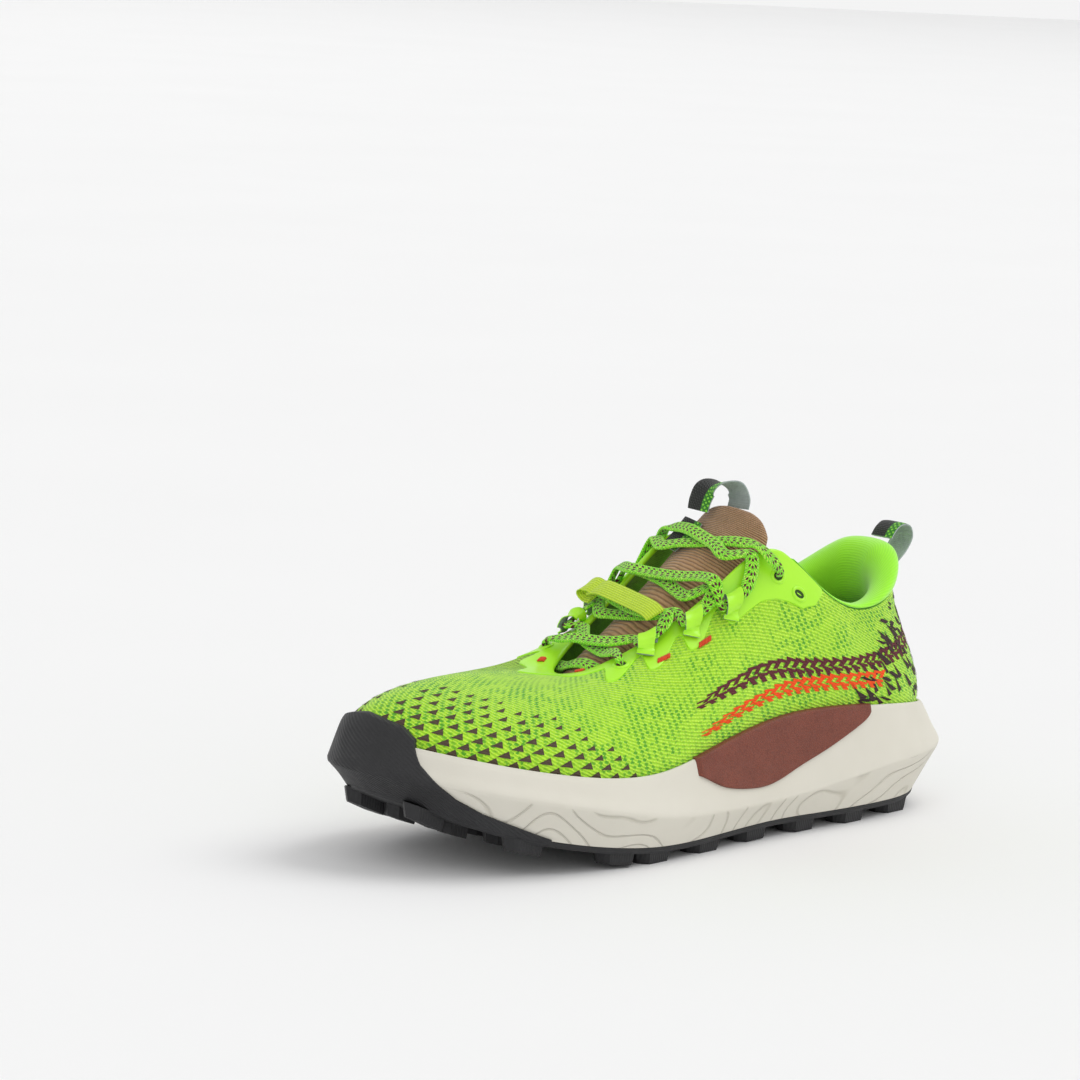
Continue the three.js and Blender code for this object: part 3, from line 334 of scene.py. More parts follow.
class Finish:
    """A procedural material under construction."""

    def __init__(self, name, rough=0.7, sheen=0.0, coat=0.0, specular=0.5):
        self.material = bpy.data.materials.new(name)
        self.material.use_nodes = True
        self.tree = self.material.node_tree
        self.shader = self.tree.nodes["Principled BSDF"]
        self.shader.inputs["Roughness"].default_value = rough
        self.shader.inputs["Sheen Weight"].default_value = sheen
        self.shader.inputs["Sheen Roughness"].default_value = 0.5
        self.shader.inputs["Coat Weight"].default_value = coat
        self.shader.inputs["Specular IOR Level"].default_value = specular
        uv = self.tree.nodes.new("ShaderNodeUVMap")
        uv.uv_map = "surface"
        self.uv = uv.outputs[0]
        place = self.tree.nodes.new("ShaderNodeTexCoord")
        self.place = place.outputs["Object"]
        split = self.add("ShaderNodeSeparateXYZ", self.uv)
        self.x, self.y = split.outputs[0], split.outputs[1]

    def add(self, kind, *inputs, **settings):
        node = self.tree.nodes.new(kind)
        for key, value in settings.items():
            setattr(node, key, value)
        for k, value in enumerate(inputs):
            if value is not None:
                self.put(node.inputs[k], value)
        return node

    def put(self, socket, value):
        if isinstance(value, bpy.types.NodeSocket):
            self.tree.links.new(value, socket)
        else:
            socket.default_value = value

    def math(self, operation, a, b=None, c=None, clamp=False):
        return self.add("ShaderNodeMath", a, b, c, operation=operation, use_clamp=clamp).outputs[0]

    def wave(self, value, pitch, phase=0.0):
        """Sine of value with a pitch in the same units, from 0 to 1."""
        turn = self.math("MULTIPLY_ADD", value, 2 * math.pi / pitch, phase)
        return self.math("MULTIPLY_ADD", self.math("SINE", turn), 0.5, 0.5)

    def step(self, value, low, high):
        node = self.add("ShaderNodeMapRange", value, low, high, 0.0, 1.0, interpolation_type="SMOOTHSTEP")
        return node.outputs[0]

    def noise(self, scale, detail=3.0, vector=None, stretch=(1, 1, 1), rough=0.55):
        vector = self.place if vector is None else vector
        mapping = self.add("ShaderNodeMapping", vector)
        mapping.inputs["Scale"].default_value = stretch
        node = self.add("ShaderNodeTexNoise")
        self.put(node.inputs["Vector"], mapping.outputs[0])
        node.inputs["Scale"].default_value = scale
        node.inputs["Detail"].default_value = detail
        node.inputs["Roughness"].default_value = rough
        return node.outputs["Fac"]

    def mix(self, factor, a, b):
        node = self.add("ShaderNodeMix", data_type="RGBA", clamp_factor=True)
        for index, value in ((0, factor), (6, a), (7, b)):
            self.put(node.inputs[index], value)
        return node.outputs[2]

    def paint(self, value):
        self.put(self.shader.inputs["Base Color"], value)

    def rough(self, value):
        self.put(self.shader.inputs["Roughness"], value)

    def bump(self, height, depth_mm, strength=1.0):
        before = self.shader.inputs["Normal"].links
        previous = before[0].from_socket if before else None
        node = self.add("ShaderNodeBump")
        node.inputs["Strength"].default_value = strength
        node.inputs["Distance"].default_value = depth_mm * 0.001
        self.put(node.inputs["Height"], height)
        if previous is not None:
            self.put(node.inputs["Normal"], previous)
        self.put(self.shader.inputs["Normal"], node.outputs[0])

    def turned(self, degrees):
        """The surface coordinates turned by an angle: (along, across)."""
        c, s = math.cos(math.radians(degrees)), math.sin(math.radians(degrees))
        along = self.math("ADD", self.math("MULTIPLY", self.x, c), self.math("MULTIPLY", self.y, s))
        across = self.math("SUBTRACT", self.math("MULTIPLY", self.y, c), self.math("MULTIPLY", self.x, s))
        return along, across


def knit_ribs(f, angle=20, pitch=1.3, depth=0.22):
    """Ribs of the upper's knit, broken into stitches; returns (ribs, stitches)."""
    along, across = f.turned(angle)
    waver = f.math("MULTIPLY", f.noise(260, 2), 0.9)
    ribs = f.wave(f.math("ADD", across, waver), pitch)
    row = f.math("FLOOR", f.math("DIVIDE", f.math("ADD", across, waver), pitch))
    stitches = f.wave(f.math("ADD", along, f.math("MULTIPLY", row, 0.83)), 1.9)
    f.bump(ribs, depth, 0.9)
    f.bump(f.math("MULTIPLY", stitches, ribs), depth * 0.7, 0.8)
    f.bump(f.noise(2600, 2), 0.05, 0.6)
    return ribs, stitches, along, across


def make_knit():
    f = Finish("knit_upper", rough=0.82, sheen=0.25, specular=0.3)
    ribs, stitches, along, across = knit_ribs(f)
    # darker green yarn shows in short dashes, denser in some areas than in others
    row = f.math("FLOOR", f.math("DIVIDE", across, 1.3))
    shifted = f.math("ADD", along, f.math("MULTIPLY", f.math("FRACT", f.math("MULTIPLY", row, 0.618)), 5.0))
    dash = f.step(f.wave(shifted, 4.2), 0.50, 0.72)
    area = f.step(f.noise(55, 3), 0.38, 0.6)
    patchy = f.step(f.noise(300, 2, stretch=(1, 0.6, 1)), 0.36, 0.52)
    dark = f.math("MULTIPLY", f.math("MULTIPLY", dash, patchy), f.math("MULTIPLY_ADD", area, 0.65, 0.35))
    ground = f.mix(f.noise(90, 3), colour("b2ec22"), colour("c8f53a"))
    # painted shade: the valleys between the ribs are painted darker green
    ground = f.mix(f.math("MULTIPLY", f.math("SUBTRACT", 1.0, ribs), 0.55), ground, colour("74c018"))
    # painted highlight: the tops of the stitches on the ribs are painted paler
    ground = f.mix(f.math("MULTIPLY", f.math("MULTIPLY", stitches, ribs), 0.3), ground, colour("e2fb74"))
    f.paint(f.mix(f.math("MULTIPLY", dark, 0.78), ground, colour("2f9a1e")))
    return f.material


def make_film():
    f = Finish("welded_film", rough=0.34, coat=0.12, specular=0.5)
    f.paint(f.mix(f.noise(35, 2), colour("a6ef1c"), colour("b4f52e")))
    f.bump(f.noise(900, 3), 0.05, 0.35)
    f.bump(f.noise(60, 2), 0.3, 0.2)
    f.rough(f.math("MULTIPLY_ADD", f.noise(200, 3), 0.2, 0.26))
    return f.material


def make_collar():
    f = Finish("collar_lining", rough=0.74, sheen=0.45, specular=0.3)
    lines = f.wave(f.y, 1.15)
    f.bump(lines, 0.12, 0.7)
    f.bump(f.wave(f.x, 0.95), 0.05, 0.4)
    f.bump(f.noise(2200, 2), 0.04, 0.5)
    ground = f.mix(f.noise(40, 3), colour("98f414"), colour("aaf92c"))
    # painted shade: the grooves between the raised lines are painted darker green
    f.paint(f.mix(f.math("MULTIPLY", f.math("SUBTRACT", 1.0, lines), 0.22), ground, colour("5fcf10")))
    return f.material


def make_rib_knit():
    f = Finish("rib_knit", rough=0.85, sheen=0.3, specular=0.25)
    waver = f.math("MULTIPLY", f.noise(120, 2), 1.4)
    ribs = f.wave(f.math("ADD", f.math("ADD", f.y, f.math("MULTIPLY", f.x, 0.1)), waver), 1.55)
    yarn = f.wave(f.math("ADD", f.x, f.math("MULTIPLY", f.y, 0.5)), 0.8)
    f.bump(ribs, 0.3, 1.0)
    f.bump(f.math("MULTIPLY", yarn, ribs), 0.12, 0.7)
    ground = f.mix(f.noise(420, 3), colour("a57b50"), colour("c9a077"))
    # painted shade: the valleys between the ribs are painted dark brown
    ground = f.mix(f.math("MULTIPLY", f.step(f.math("SUBTRACT", 1.0, ribs), 0.45, 0.95), 0.65), ground,
                   colour("65452b"))
    f.paint(ground)
    return f.material


def make_lace():
    f = Finish("lace_cord", rough=0.72, sheen=0.25, specular=0.3)
    wide = f.math("ABSOLUTE", f.y)
    # two braided halves with slanting yarns
    slant = f.math("ADD", f.x, f.math("MULTIPLY", wide, 0.9))
    braid = f.wave(slant, 1.25)
    f.bump(braid, 0.28, 1.0)
    f.bump(f.wave(f.y, 0.62), 0.1, 0.6)
    column = f.math("FLOOR", f.math("ADD", f.math("DIVIDE", f.y, 1.3), 0.5))
    odd = f.math("ABSOLUTE", f.math("FRACT", f.math("MULTIPLY", column, 0.5)))
    run = f.math("ADD", slant, f.math("MULTIPLY", odd, 3.0))
    fleck = f.step(f.wave(run, 3.0), 0.55, 0.7)
    inside = f.math("ABSOLUTE", f.math("SUBTRACT", f.math("FRACT", f.math("ADD", f.math("DIVIDE", f.y, 1.3),
                                                                         0.5)), 0.5))
    fleck = f.math("MULTIPLY", fleck, f.math("SUBTRACT", 1.0, f.step(inside, 0.3, 0.42)))
    fleck = f.math("MULTIPLY", fleck, f.math("SUBTRACT", 1.0, f.step(wide, 2.1, 2.3)))
    # painted shade: the grooves of the braid are painted darker green
    shade = f.math("MULTIPLY", f.math("SUBTRACT", 1.0, braid), 0.6)
    ground = f.mix(shade, colour("96f41e"), colour("46b414"))
    ground = f.mix(f.step(f.noise(1500, 1), 0.55, 0.62), ground, colour("c8fa5a"))
    f.paint(f.mix(fleck, ground, colour("54131f")))
    return f.material


def make_foam():
    f = Finish("midsole_foam", rough=0.62, specular=0.4)
    low = f.math("SUBTRACT", 1.0, f.step(f.y, -2.0, -0.6))
    relief = f.noise(17, 1.0, stretch=(1, 1, 1.2), rough=0.4)
    lines = f.math("FRACT", f.math("MULTIPLY", relief, 15.0))
    groove = f.step(f.math("ABSOLUTE", f.math("SUBTRACT", lines, 0.5)), 0.40, 0.5)
    groove = f.math("MULTIPLY", groove, low)
    # fine slanting hatch on the medial wall's upper band
    medial = f.math("MULTIPLY", f.step(f.x, 372, 384), f.math("SUBTRACT", 1.0, low))
    hatch = f.math("MULTIPLY", f.wave(f.turned(38)[1], 1.7), medial)
    f.bump(f.math("SUBTRACT", 1.0, groove), 0.5, 0.9)
    f.bump(hatch, 0.22, 0.8)
    f.bump(f.noise(1300, 3), 0.06, 0.45)
    f.bump(f.noise(45, 3), 0.5, 0.16)
    ground = f.mix(f.noise(25, 4), colour("cfcbbd"), colour("dedacf"))
    # painted shade: the moulded grooves on the lower band are painted darker
    ground = f.mix(f.math("MULTIPLY", groove, 0.3), ground, colour("a39c89"))
    scuff = f.math("MULTIPLY", f.step(f.noise(70, 5), 0.62, 0.8), 0.14)
    f.paint(f.mix(scuff, ground, colour("b5ad9a")))
    f.rough(f.math("MULTIPLY_ADD", f.noise(160, 3), 0.2, 0.5))
    return f.material


def make_leather():
    f = Finish("insert_foam", rough=0.5, specular=0.45)
    cells = f.add("ShaderNodeTexVoronoi", feature="DISTANCE_TO_EDGE")
    f.put(cells.inputs["Vector"], f.place)
    cells.inputs["Scale"].default_value = 1100
    grain = f.step(cells.outputs["Distance"], 0.0, 0.22)
    f.bump(grain, 0.12, 0.7)
    f.bump(f.noise(260, 4), 0.12, 0.4)
    ground = f.mix(f.noise(60, 4), colour("6e3322"), colour("8c4631"))
    # painted shade: the creases along the grain are painted dark brown
    f.paint(f.mix(f.math("MULTIPLY", f.math("SUBTRACT", 1.0, grain), 0.45), ground, colour("4b2016")))
    f.rough(f.math("MULTIPLY_ADD", f.noise(300, 3), 0.25, 0.38))
    return f.material


def make_rubber(name, ribbed):
    f = Finish(name, rough=0.58, specular=0.4)
    if ribbed:
        lines = f.wave(f.turned(28)[1], 1.5)
        facet = f.add("ShaderNodeTexVoronoi", feature="F1")
        f.put(facet.inputs["Vector"], f.place)
        facet.inputs["Scale"].default_value = 62
        f.bump(f.math("MULTIPLY", facet.outputs["Distance"], 1.0), 2.2, 0.5)
        f.bump(lines, 0.2, 0.8)
        f.bump(f.noise(900, 3), 0.06, 0.4)
    else:
        f.bump(f.wave(f.turned(0)[1], 1.2), 0.14, 0.6)
        f.bump(f.noise(700, 3), 0.08, 0.5)
    ground = f.mix(f.noise(50, 4), colour("1f1f20"), colour("2e2e30"))
    f.paint(f.mix(f.math("MULTIPLY", f.step(f.noise(130, 5), 0.6, 0.8), 0.25), ground, colour("4a4947")))
    f.rough(f.math("MULTIPLY_ADD", f.noise(220, 3), 0.25, 0.45))
    return f.material


def make_webbing(name, half):
    """Black tape with a green checked band along one edge."""
    f = Finish(name, rough=0.75, sheen=0.2, specular=0.3)
    weave = f.math("MULTIPLY", f.wave(f.x, 0.9), f.wave(f.y, 0.7))
    f.bump(weave, 0.2, 0.9)
    f.bump(f.wave(f.turned(45)[0], 1.1), 0.12, 0.6)
    band = f.step(f.y, half * 0.28, half * 0.34)
    check = f.step(f.wave(f.turned(40)[0], 1.7), 0.42, 0.58)
    cross = f.step(f.wave(f.turned(-40)[0], 1.7), 0.35, 0.5)
    green = f.mix(f.math("MULTIPLY", check, cross), colour("2f7d1c"), colour("86d43a"))
    ground = f.mix(f.noise(900, 2), colour("141514"), colour("262826"))
    f.paint(f.mix(band, ground, green))
    return f.material


def make_woven(name, light, dark, pitch=0.9, rough=0.8, depth=0.15):
    f = Finish(name, rough=rough, sheen=0.2, specular=0.3)
    weave = f.math("MULTIPLY", f.wave(f.x, pitch), f.wave(f.y, pitch))
    f.bump(weave, depth, 0.9)
    ground = f.mix(f.noise(500, 3), colour(dark), colour(light))
    # painted shade: the gaps between the crossing yarns are painted in the dark colour
    f.paint(f.mix(f.math("MULTIPLY", f.math("SUBTRACT", 1.0, weave), 0.4), ground, colour(dark)))
    return f.material


def make_elastic():
    f = Finish("elastic", rough=0.6, sheen=0.15, specular=0.35)
    ribs = f.wave(f.y, 1.05)
    f.bump(ribs, 0.25, 1.0)
    f.bump(f.wave(f.x, 0.6), 0.06, 0.6)
    ground = f.mix(f.noise(300, 3), colour("bfe21c"), colour("d6f23c"))
    # painted shade: the valleys between the ribs are painted darker
    f.paint(f.mix(f.math("MULTIPLY", f.math("SUBTRACT", 1.0, ribs), 0.5), ground, colour("93b80e")))
    return f.material


def make_print(name, light, dark):
    f = Finish(name, rough=0.66, specular=0.3)
    knit_ribs(f, depth=0.12)
    f.paint(f.mix(f.noise(700, 3), colour(dark), colour(light)))
    return f.material


def make_tip():
    f = Finish("lace_tip", rough=0.25, coat=0.3)
    f.paint(f.mix(f.noise(300, 2), colour("aeb8b4"), colour("c8d0cc")))
    f.bump(f.noise(500, 2), 0.05, 0.4)
    return f.material


def make_floor():
    f = Finish("floor", rough=0.9, specular=0.2)
    f.paint(f.mix(f.noise(3, 2), colour("f1f1f1"), colour("f4f4f4")))
    return f.material


KNIT, FILM, COLLAR, RIBKNIT = make_knit(), make_film(), make_collar(), make_rib_knit()
LACE, FOAM, LEATHER = make_lace(), make_foam(), make_leather()
RUBBER_RIBBED, RUBBER_PLAIN = make_rubber("bumper_rubber", True), make_rubber("tread_rubber", False)
WEBBING = make_webbing("webbing", 6)
TAPE_BACK = make_woven("tape_back", "b9c4c0", "8d9995")
TAPE = make_woven("loop_tape", "a9b8b0", "74837c")
THREAD = make_woven("tack_thread", "ff5f22", "d23c0c", pitch=0.55, depth=0.25)
ELASTIC = make_elastic()
LINING = make_woven("lining", "86c81f", "5b9612", pitch=1.1)
INSOLE = make_woven("insole_fabric", "7fbf2c", "4f8517", pitch=1.3)
MAROON = make_print("print_maroon", "6b2b30", "4d1d24")
ORANGE = make_print("print_orange", "ff5a12", "e2440a")
DARK = make_print("print_dark", "46302f", "2c1d1e")
UMBER = make_print("print_umber", "5c4c3c", "43362b")
HOLE = make_woven("hole_shade", "3d6a14", "20380a", rough=0.9)
TIP = make_tip()


def finish_piece(obj, materials, slot, body="rear", blend=None, replaces=()):
    for material in materials:
        obj.data.materials.append(material)
    if blend:
        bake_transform(obj)
    else:
        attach(obj, body)
    if replaces:
        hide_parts(*replaces)
    return obj


FLEX_UPPER = ("rear", "forefoot", tuple(metres([1.5, -56, 50])), tuple(metres([1.5, -80, 50])))
FLEX_SOLE = ("rear", "forefoot", tuple(metres([1.5, -54, 25])), tuple(metres([1.5, -82, 25])))

# ---------- upper ----------

U, V = grid(np.linspace(0, 1, 361), crowded(45))
upper_patches = slab(upper(U, V), upper_off(U, V, -SHELL), inside_slot=1, loop=True)
finish_piece(build("upper_knit", upper_patches), [KNIT, LINING], "knit_upper", blend=FLEX_UPPER,
             replaces=("toe_box", "vamp_flex_panel", "quarter_lateral", "quarter_medial",
                       "heel_counter", "toe_puff"))


def film_low(u):
    """Lower edge of the welded film: lobes along the flaps, a panel behind, a plain throat."""
    a = np.minimum(u, 1 - u)
    lobes = 0.70 + 0.16 * np.clip(0.5 - 0.5 * np.cos(2 * np.pi * (a - 0.2595) / 0.0345), 0, 1) ** 1.5
    throat = 0.86 - 0.03 * np.cos((u - 0.5) * 4 * np.pi / 0.19)
    panel = np.interp(a, [0.1805, 0.19, 0.202, 0.22, 0.2385, 0.25, 0.2595],
                      [0.99, 0.82, 0.74, 0.735, 0.735, 0.715, 0.70])
    return np.where(a < 0.2595, panel, lerp(lobes, throat, smooth(a, 0.370, 0.388)))


def skin(us, low, high, count, proud, base=0.05, share=0.08):
    """Patches of a thin sheet on the upper between two heights v(u), with a soft shoulder."""
    t = crowded(count)
    u = us[:, None] + 0 * t
    v = low[:, None] + (high - low)[:, None] * t
    height = base + (proud - base) * pillow(len(us), count, 0.012, share)
    return slab(upper_off(u, v, height), upper_off(u, v, -0.25))


film_u = np.linspace(0.1815, 0.8185, 620)
film = build("welded_film", skin(film_u, film_low(film_u), np.full(620, 1.0), 22, 0.62))
finish_piece(film, [FILM, FILM], "welded_film",
             replaces=("eyestay_lateral", "eyestay_medial", "throat_overlay"))


def tube(line, radius, around=12, flat=1.0, normal=None):
    """Patches of a round cord along a line of points."""
    along = unit(np.gradient(line, axis=0))
    reference = np.array([0, 0, 1.0]) if normal is None else normal
    side = unit(np.cross(along, reference))
    face = unit(np.cross(side, along))
    a = np.linspace(0, 2 * np.pi, around + 1)
    r = np.broadcast_to(radius, len(line))[:, None, None]
    ring = line[:, None] + r * (side[:, None] * np.cos(a)[None, :, None]
                                + face[:, None] * (np.sin(a) * flat)[None, :, None])
    uv = np.stack(np.broadcast_arrays(lengths(line[:, None], 0), a[None, :] * np.max(radius)), -1)
    return [(ring, uv, 0)] + end_caps(ring, line, uv)


# binding rolled over the opening's edge
binding_u = np.linspace(0.207, 0.793, 420)
taper = np.minimum(1, np.minimum(binding_u - 0.2, 0.8 - binding_u) / 0.02)
binding = tube(upper_off(binding_u, np.full(420, 0.995), -0.75), 1.25 * taper)
finish_piece(build("throat_binding", binding), [FILM], "welded_film")

# ---------- eyelets ----------


def eyelet(name, u, v, radius_long, radius_wide):
    n, around = 7, 37
    centre, normal = upper(u, v), upper_normal(u, v)
    along = unit(upper(u + 0.004, v) - upper(u - 0.004, v))
    across = np.cross(normal, along)
    a = np.linspace(0, 2 * np.pi, around)[:, None]
    section = np.linspace(0, np.pi, n)[None, :]
    grow = 1.15 - np.cos(section) * 0.85
    rise = 0.45 + np.sin(section) * 0.75

    def ring(extra, height):
        return (centre + along * (np.cos(a) * (radius_long + extra))[..., None]
                + across * (np.sin(a) * (radius_wide + extra))[..., None]
                + normal * (height + 0 * a)[..., None])
    rim = ring(grow - 0.6, rise)
    # the hole is a dark sheet of painted shade laid over the eyelet's opening
    hole = ring(np.array([[0.0, -radius_wide]]), np.array([[0.75, 0.6]]))
    for obj, material in ((build(name + "_rim", [(rim, surface_uv(rim), 0)]), FILM),
                          (build(name + "_hole", [(hole, surface_uv(hole), 0)]), HOLE)):
        finish_piece(obj, [material], "welded_film")


# name, u, v and the two radii
EYELETS = [("spare", 0.2055, 0.815, 2.9, 1.7), ("top", 0.2245, 0.86, 2.4, 1.9),
           ("low", 0.3615, 0.84, 2.2, 1.8)]
for side, at in SIDES.items():
    for hole, u, v, long_radius, wide_radius in EYELETS:
        eyelet(f"eyelet_{hole}_{side}", at(u), v, long_radius, wide_radius)

# ---------- prints on the knit ----------


def print_patch(corners, n=4, m=4, proud=0.2):
    """One grid over a four-cornered patch of the upper, corners given as (u, v)."""
    c = np.array(corners, float)
    s, t = np.linspace(0, 1, n)[:, None, None], np.linspace(0, 1, m)[None, :, None]
    p = c[0] * (1 - s) * (1 - t) + c[1] * s * (1 - t) + c[2] * s * t + c[3] * (1 - s) * t
    points = upper_off(p[..., 0], p[..., 1], proud)
    return (points, surface_uv(points) + c[0] * [900, 120], 0)


triangles = []
for at in SIDES.values():
    for row in range(8):
        v = 0.05 + row * 0.060
        limit = np.interp(v, [0.06, 0.30, 0.43, 0.48, 0.50], [0.325, 0.3585, 0.3885, 0.433, 0.47])
        for column in range(24):
            u = 0.486 - column * 0.0118 - (row % 2) * 0.0059
            if u < limit:
                continue
            upwards = lerp(1.0, 0.55, np.clip((v - 0.05) / 0.45, 0, 1))
            fade = upwards * lerp(0.7, 1, smooth(u, limit, limit + 0.04))
            w, h = 0.0042 * fade, 0.052 * fade
            tip = (at(u - w * 0.4), v + h)
            triangles.append(print_patch([(at(u - w), v), (at(u + w), v), tip, tip], 3, 3))
finish_piece(build("print_triangles", triangles, weld=1e-6), [UMBER], "knit_upper", blend=FLEX_UPPER)

TRACKS = {
    "print_track": (MAROON, [0.0605, 0.12, 0.2, 0.265, 0.284], [0.62, 0.53, 0.375, 0.37, 0.36],
                    [0.080, 0.078, 0.060, 0.045, 0.022]),
    "print_stripe": (ORANGE, [0.128, 0.16, 0.2, 0.265, 0.278], [0.335, 0.315, 0.263, 0.19, 0.175],
                     [0.078, 0.072, 0.050, 0.030, 0.018]),
}
for name, (ink, stops_u, middles, halves) in TRACKS.items():
    patches = []
    for at in SIDES.values():
        for start in np.arange(stops_u[0], stops_u[-1], 0.0082):
            # each tread mark is a slanted bar with a hooked end, above and below a thin gap
            m, h = np.interp(start, stops_u, middles), np.interp(start, stops_u, halves)
            for low, high, lean in ((-1, -0.05, 0.0046), (0.05, 1, -0.0046)):
                jitter = rng.uniform(-0.25, 0.25, 4)
                thick = 0.0040 + 0.0012 * jitter[3]
                a0, a1 = m + h * (low + 0.2 * jitter[0]), m + h * (high + 0.2 * jitter[1])
                foot, head = start, start + lean + 0.002 * jitter[2]
                patches.append(print_patch([(at(foot), a0), (at(foot + thick), a0), (at(head + thick), a1),
                                            (at(head), a1)], 3, 4, 0.2))
                knee = lerp(a0, a1, 0.5 + 0.3 * jitter[1])
                patches.append(print_patch([(at(start), knee), (at(start + 0.0086), knee + h * 0.18),
                                            (at(start + 0.0086), knee + h * 0.52),
                                            (at(start), knee + h * 0.30)], 3, 3, 0.23))
    finish_piece(build(name, patches), [ink], "knit_upper")

shards = []
for k in range(240):
    v = rng.uniform(0.07, 0.93)
    front = lerp(0.155, 0.095, v)
    u = rng.uniform(-0.16, front)
    long, thin = rng.uniform(0.006, 0.016), rng.uniform(0.03, 0.085)
    slant = rng.uniform(-0.06, 0.10)
    top = min(0.95, v + thin)
    corners = [(u, v), (u + long * 0.4, v - abs(slant) * 0.3), (u + long, min(top + slant, 0.96)),
               (u + long * 0.7, min(top + slant * 0.4, 0.96))]
    shards.append(print_patch(corners, 4, 4, 0.14 + 0.0008 * k))
finish_piece(build("print_heel", shards), [DARK], "knit_upper")

# ---------- padded collar ----------

COLLAR_END = 15 / 72


def collar_section(u):
    back = 1 - smooth(abs(u), 0.03, 0.14)
    full = 1 - smooth(abs(u), 0.12, COLLAR_END)
    bulge = lerp(2.6, 6.5, full) + 2 * back
    rise = lerp(1.2, 2.6, full) + 8.5 * back
    flare = 3 * back
    into = -outward(u)
    near = SHELL + 2 * GAP

    def rim_at(inwards, up_by):
        return edge_point(u) + into * inwards + np.array([0, 0, up_by])
    return np.array([
        upper_off(u, 2 / 3, -near), upper_off(u, 7 / 9, -near), upper_off(u, 8 / 9, -near),
        rim_at(near + 0.3, GAP + 0.1), rim_at(0.1 - flare * 0.6, GAP + 0.3),
        rim_at(-0.2 - flare, rise * 0.5), rim_at(0.4 - flare, rise * 0.85),
        rim_at(near - flare * 0.5, rise), rim_at(near + bulge * 0.5, rise * 0.9),
        rim_at(near + bulge * 0.95, rise * 0.4), rim_at(near + bulge, -3),
        upper_off(u, 0.84, -near - bulge * 0.95), upper_off(u, 0.74, -near - bulge * 0.6),
        upper_off(u, 2 / 3, -near - 1)])


def rounded(section, passes=3):
    """Corner-cut closed outline."""
    for _ in range(passes):
        ahead = np.roll(section, -1, 0)
        section = np.stack([0.75 * section + 0.25 * ahead, 0.25 * section + 0.75 * ahead], 1).reshape(-1, 3)
    return np.concatenate([section, section[:1]])


collar = np.array([rounded(collar_section(u)) for u in np.linspace(-COLLAR_END, COLLAR_END, 170)])
collar_uv = surface_uv(collar)
pad = build("collar_pad", [(collar, collar_uv, 0)] + end_caps(collar, collar.mean(1), collar_uv), sharp=60)
finish_piece(pad, [COLLAR], "collar_lining", replaces=("collar_padding",))

# ---------- tongue ----------

TONGUE_PATH = [[0, -57, 55], [0, -46, 61.7], [0, -30, 72.6], [0, -12, 85.1], [0, 6, 98], [0, 20, 108.5],
               [0, 30, 116.5], [0, 36, 122.5], [0, 39.5, 129]]
TONGUE_WIDTHS = [12, 15, 20, 23, 25, 25, 24, 21, 13]
TONGUE_CROWNS = [2, 4, 8, 11, 11, 10, 8, 6, 3]
t = np.linspace(0, 1, 150)
s = np.linspace(-1, 1, 45)
line = catmull(TONGUE_PATH, 150)
along = unit(np.gradient(line, axis=0))
front = unit(stack(0, -along[:, 2], along[:, 1]))
stops = np.linspace(0, 1, 9)
width, crown = np.interp(t, stops, TONGUE_WIDTHS), np.interp(t, stops, TONGUE_CROWNS)
thick = lerp(1.6, 3.6, smooth(t, 0, 0.5)) * (1 - 0.35 * smooth(t, 0.9, 1))
round_end = np.sqrt(np.clip(1 - np.clip((t - 0.94) / 0.062, 0, 1) ** 2, 0.05, 1))
half = thick[:, None] * (1 - 0.45 * s ** 2) * pillow(150, 45, 0.02, 0.05).clip(0.25) / 2
base = (line[:, None] + stack(1, 0, 0) * (s[None, :] * (width * lerp(1, round_end, 0.4))[:, None])[..., None]
        - front[:, None] * (crown[:, None] * s ** 2)[..., None])
tongue_uv = np.stack(np.broadcast_arrays(s[None, :] * 25, t[:, None] * 118), -1)
swell = front[:, None] * half[..., None]
tongue = build("tongue", slab(base + swell, base - swell, tongue_uv), sharp=60)
BEND = ("rear", "tongue", tuple(metres([0, 22.5, 107])), tuple(metres([0, 33, 118])))
finish_piece(tongue, [RIBKNIT], "rib_knit", blend=BEND, replaces=("tongue_lower", "tongue_upper"))

# ---------- webbing ----------


LABEL = [[-17.5, 22.5, 110.8], [-16, 26.5, 114.6], [-14.6, 30, 118.4], [-13.8, 32.6, 122]]
LABEL_WIDE = [[1, 0.1, 0.25], [1, 0.1, 0.2], [1, 0.1, 0.15], [1, 0, 0.1]]
finish_piece(build("tongue_label", strip(LABEL, LABEL_WIDE, 12, 1.1)), [TAPE_BACK, WEBBING], "webbing",
             blend=BEND, replaces=("tongue_label",))
TONGUE_LOOP = [[-13.2, 34, 126], [-13, 35.3, 131], [-12, 37.5, 135.2], [-8.5, 41.5, 137.2],
               [-4.5, 45.6, 135.8], [-2.6, 47, 131.5], [-2.4, 46.2, 127.5]]
TONGUE_LOOP_WIDE = [[1, 0, 0.1], [1, 0.1, 0.1], [1, 0.2, 0.1], [1, 0.1, 0.1], [1, 0.1, 0.05], [1, 0, 0],
                    [1, 0, 0]]
finish_piece(build("tongue_pull_loop", strip(TONGUE_LOOP, TONGUE_LOOP_WIDE, 12, 1.1)), [TAPE_BACK, WEBBING],
             "webbing", "tongue_loop", replaces=("tongue_pull_loop",))
HEEL_LOOP = [[0, 128.5, 110.5], [0, 131, 113.8], [0, 135, 116], [0, 139.5, 114.8], [0, 141, 110.5],
             [0, 138, 105.2], [0, 133, 100.6]]
finish_piece(build("heel_pull_loop", strip(HEEL_LOOP, [1, 0, 0], 12, 1.1)), [TAPE_BACK, WEBBING],
             "webbing", "heel_loop", replaces=("heel_pull_loop",))

# ---------- lace loops, tacks ----------

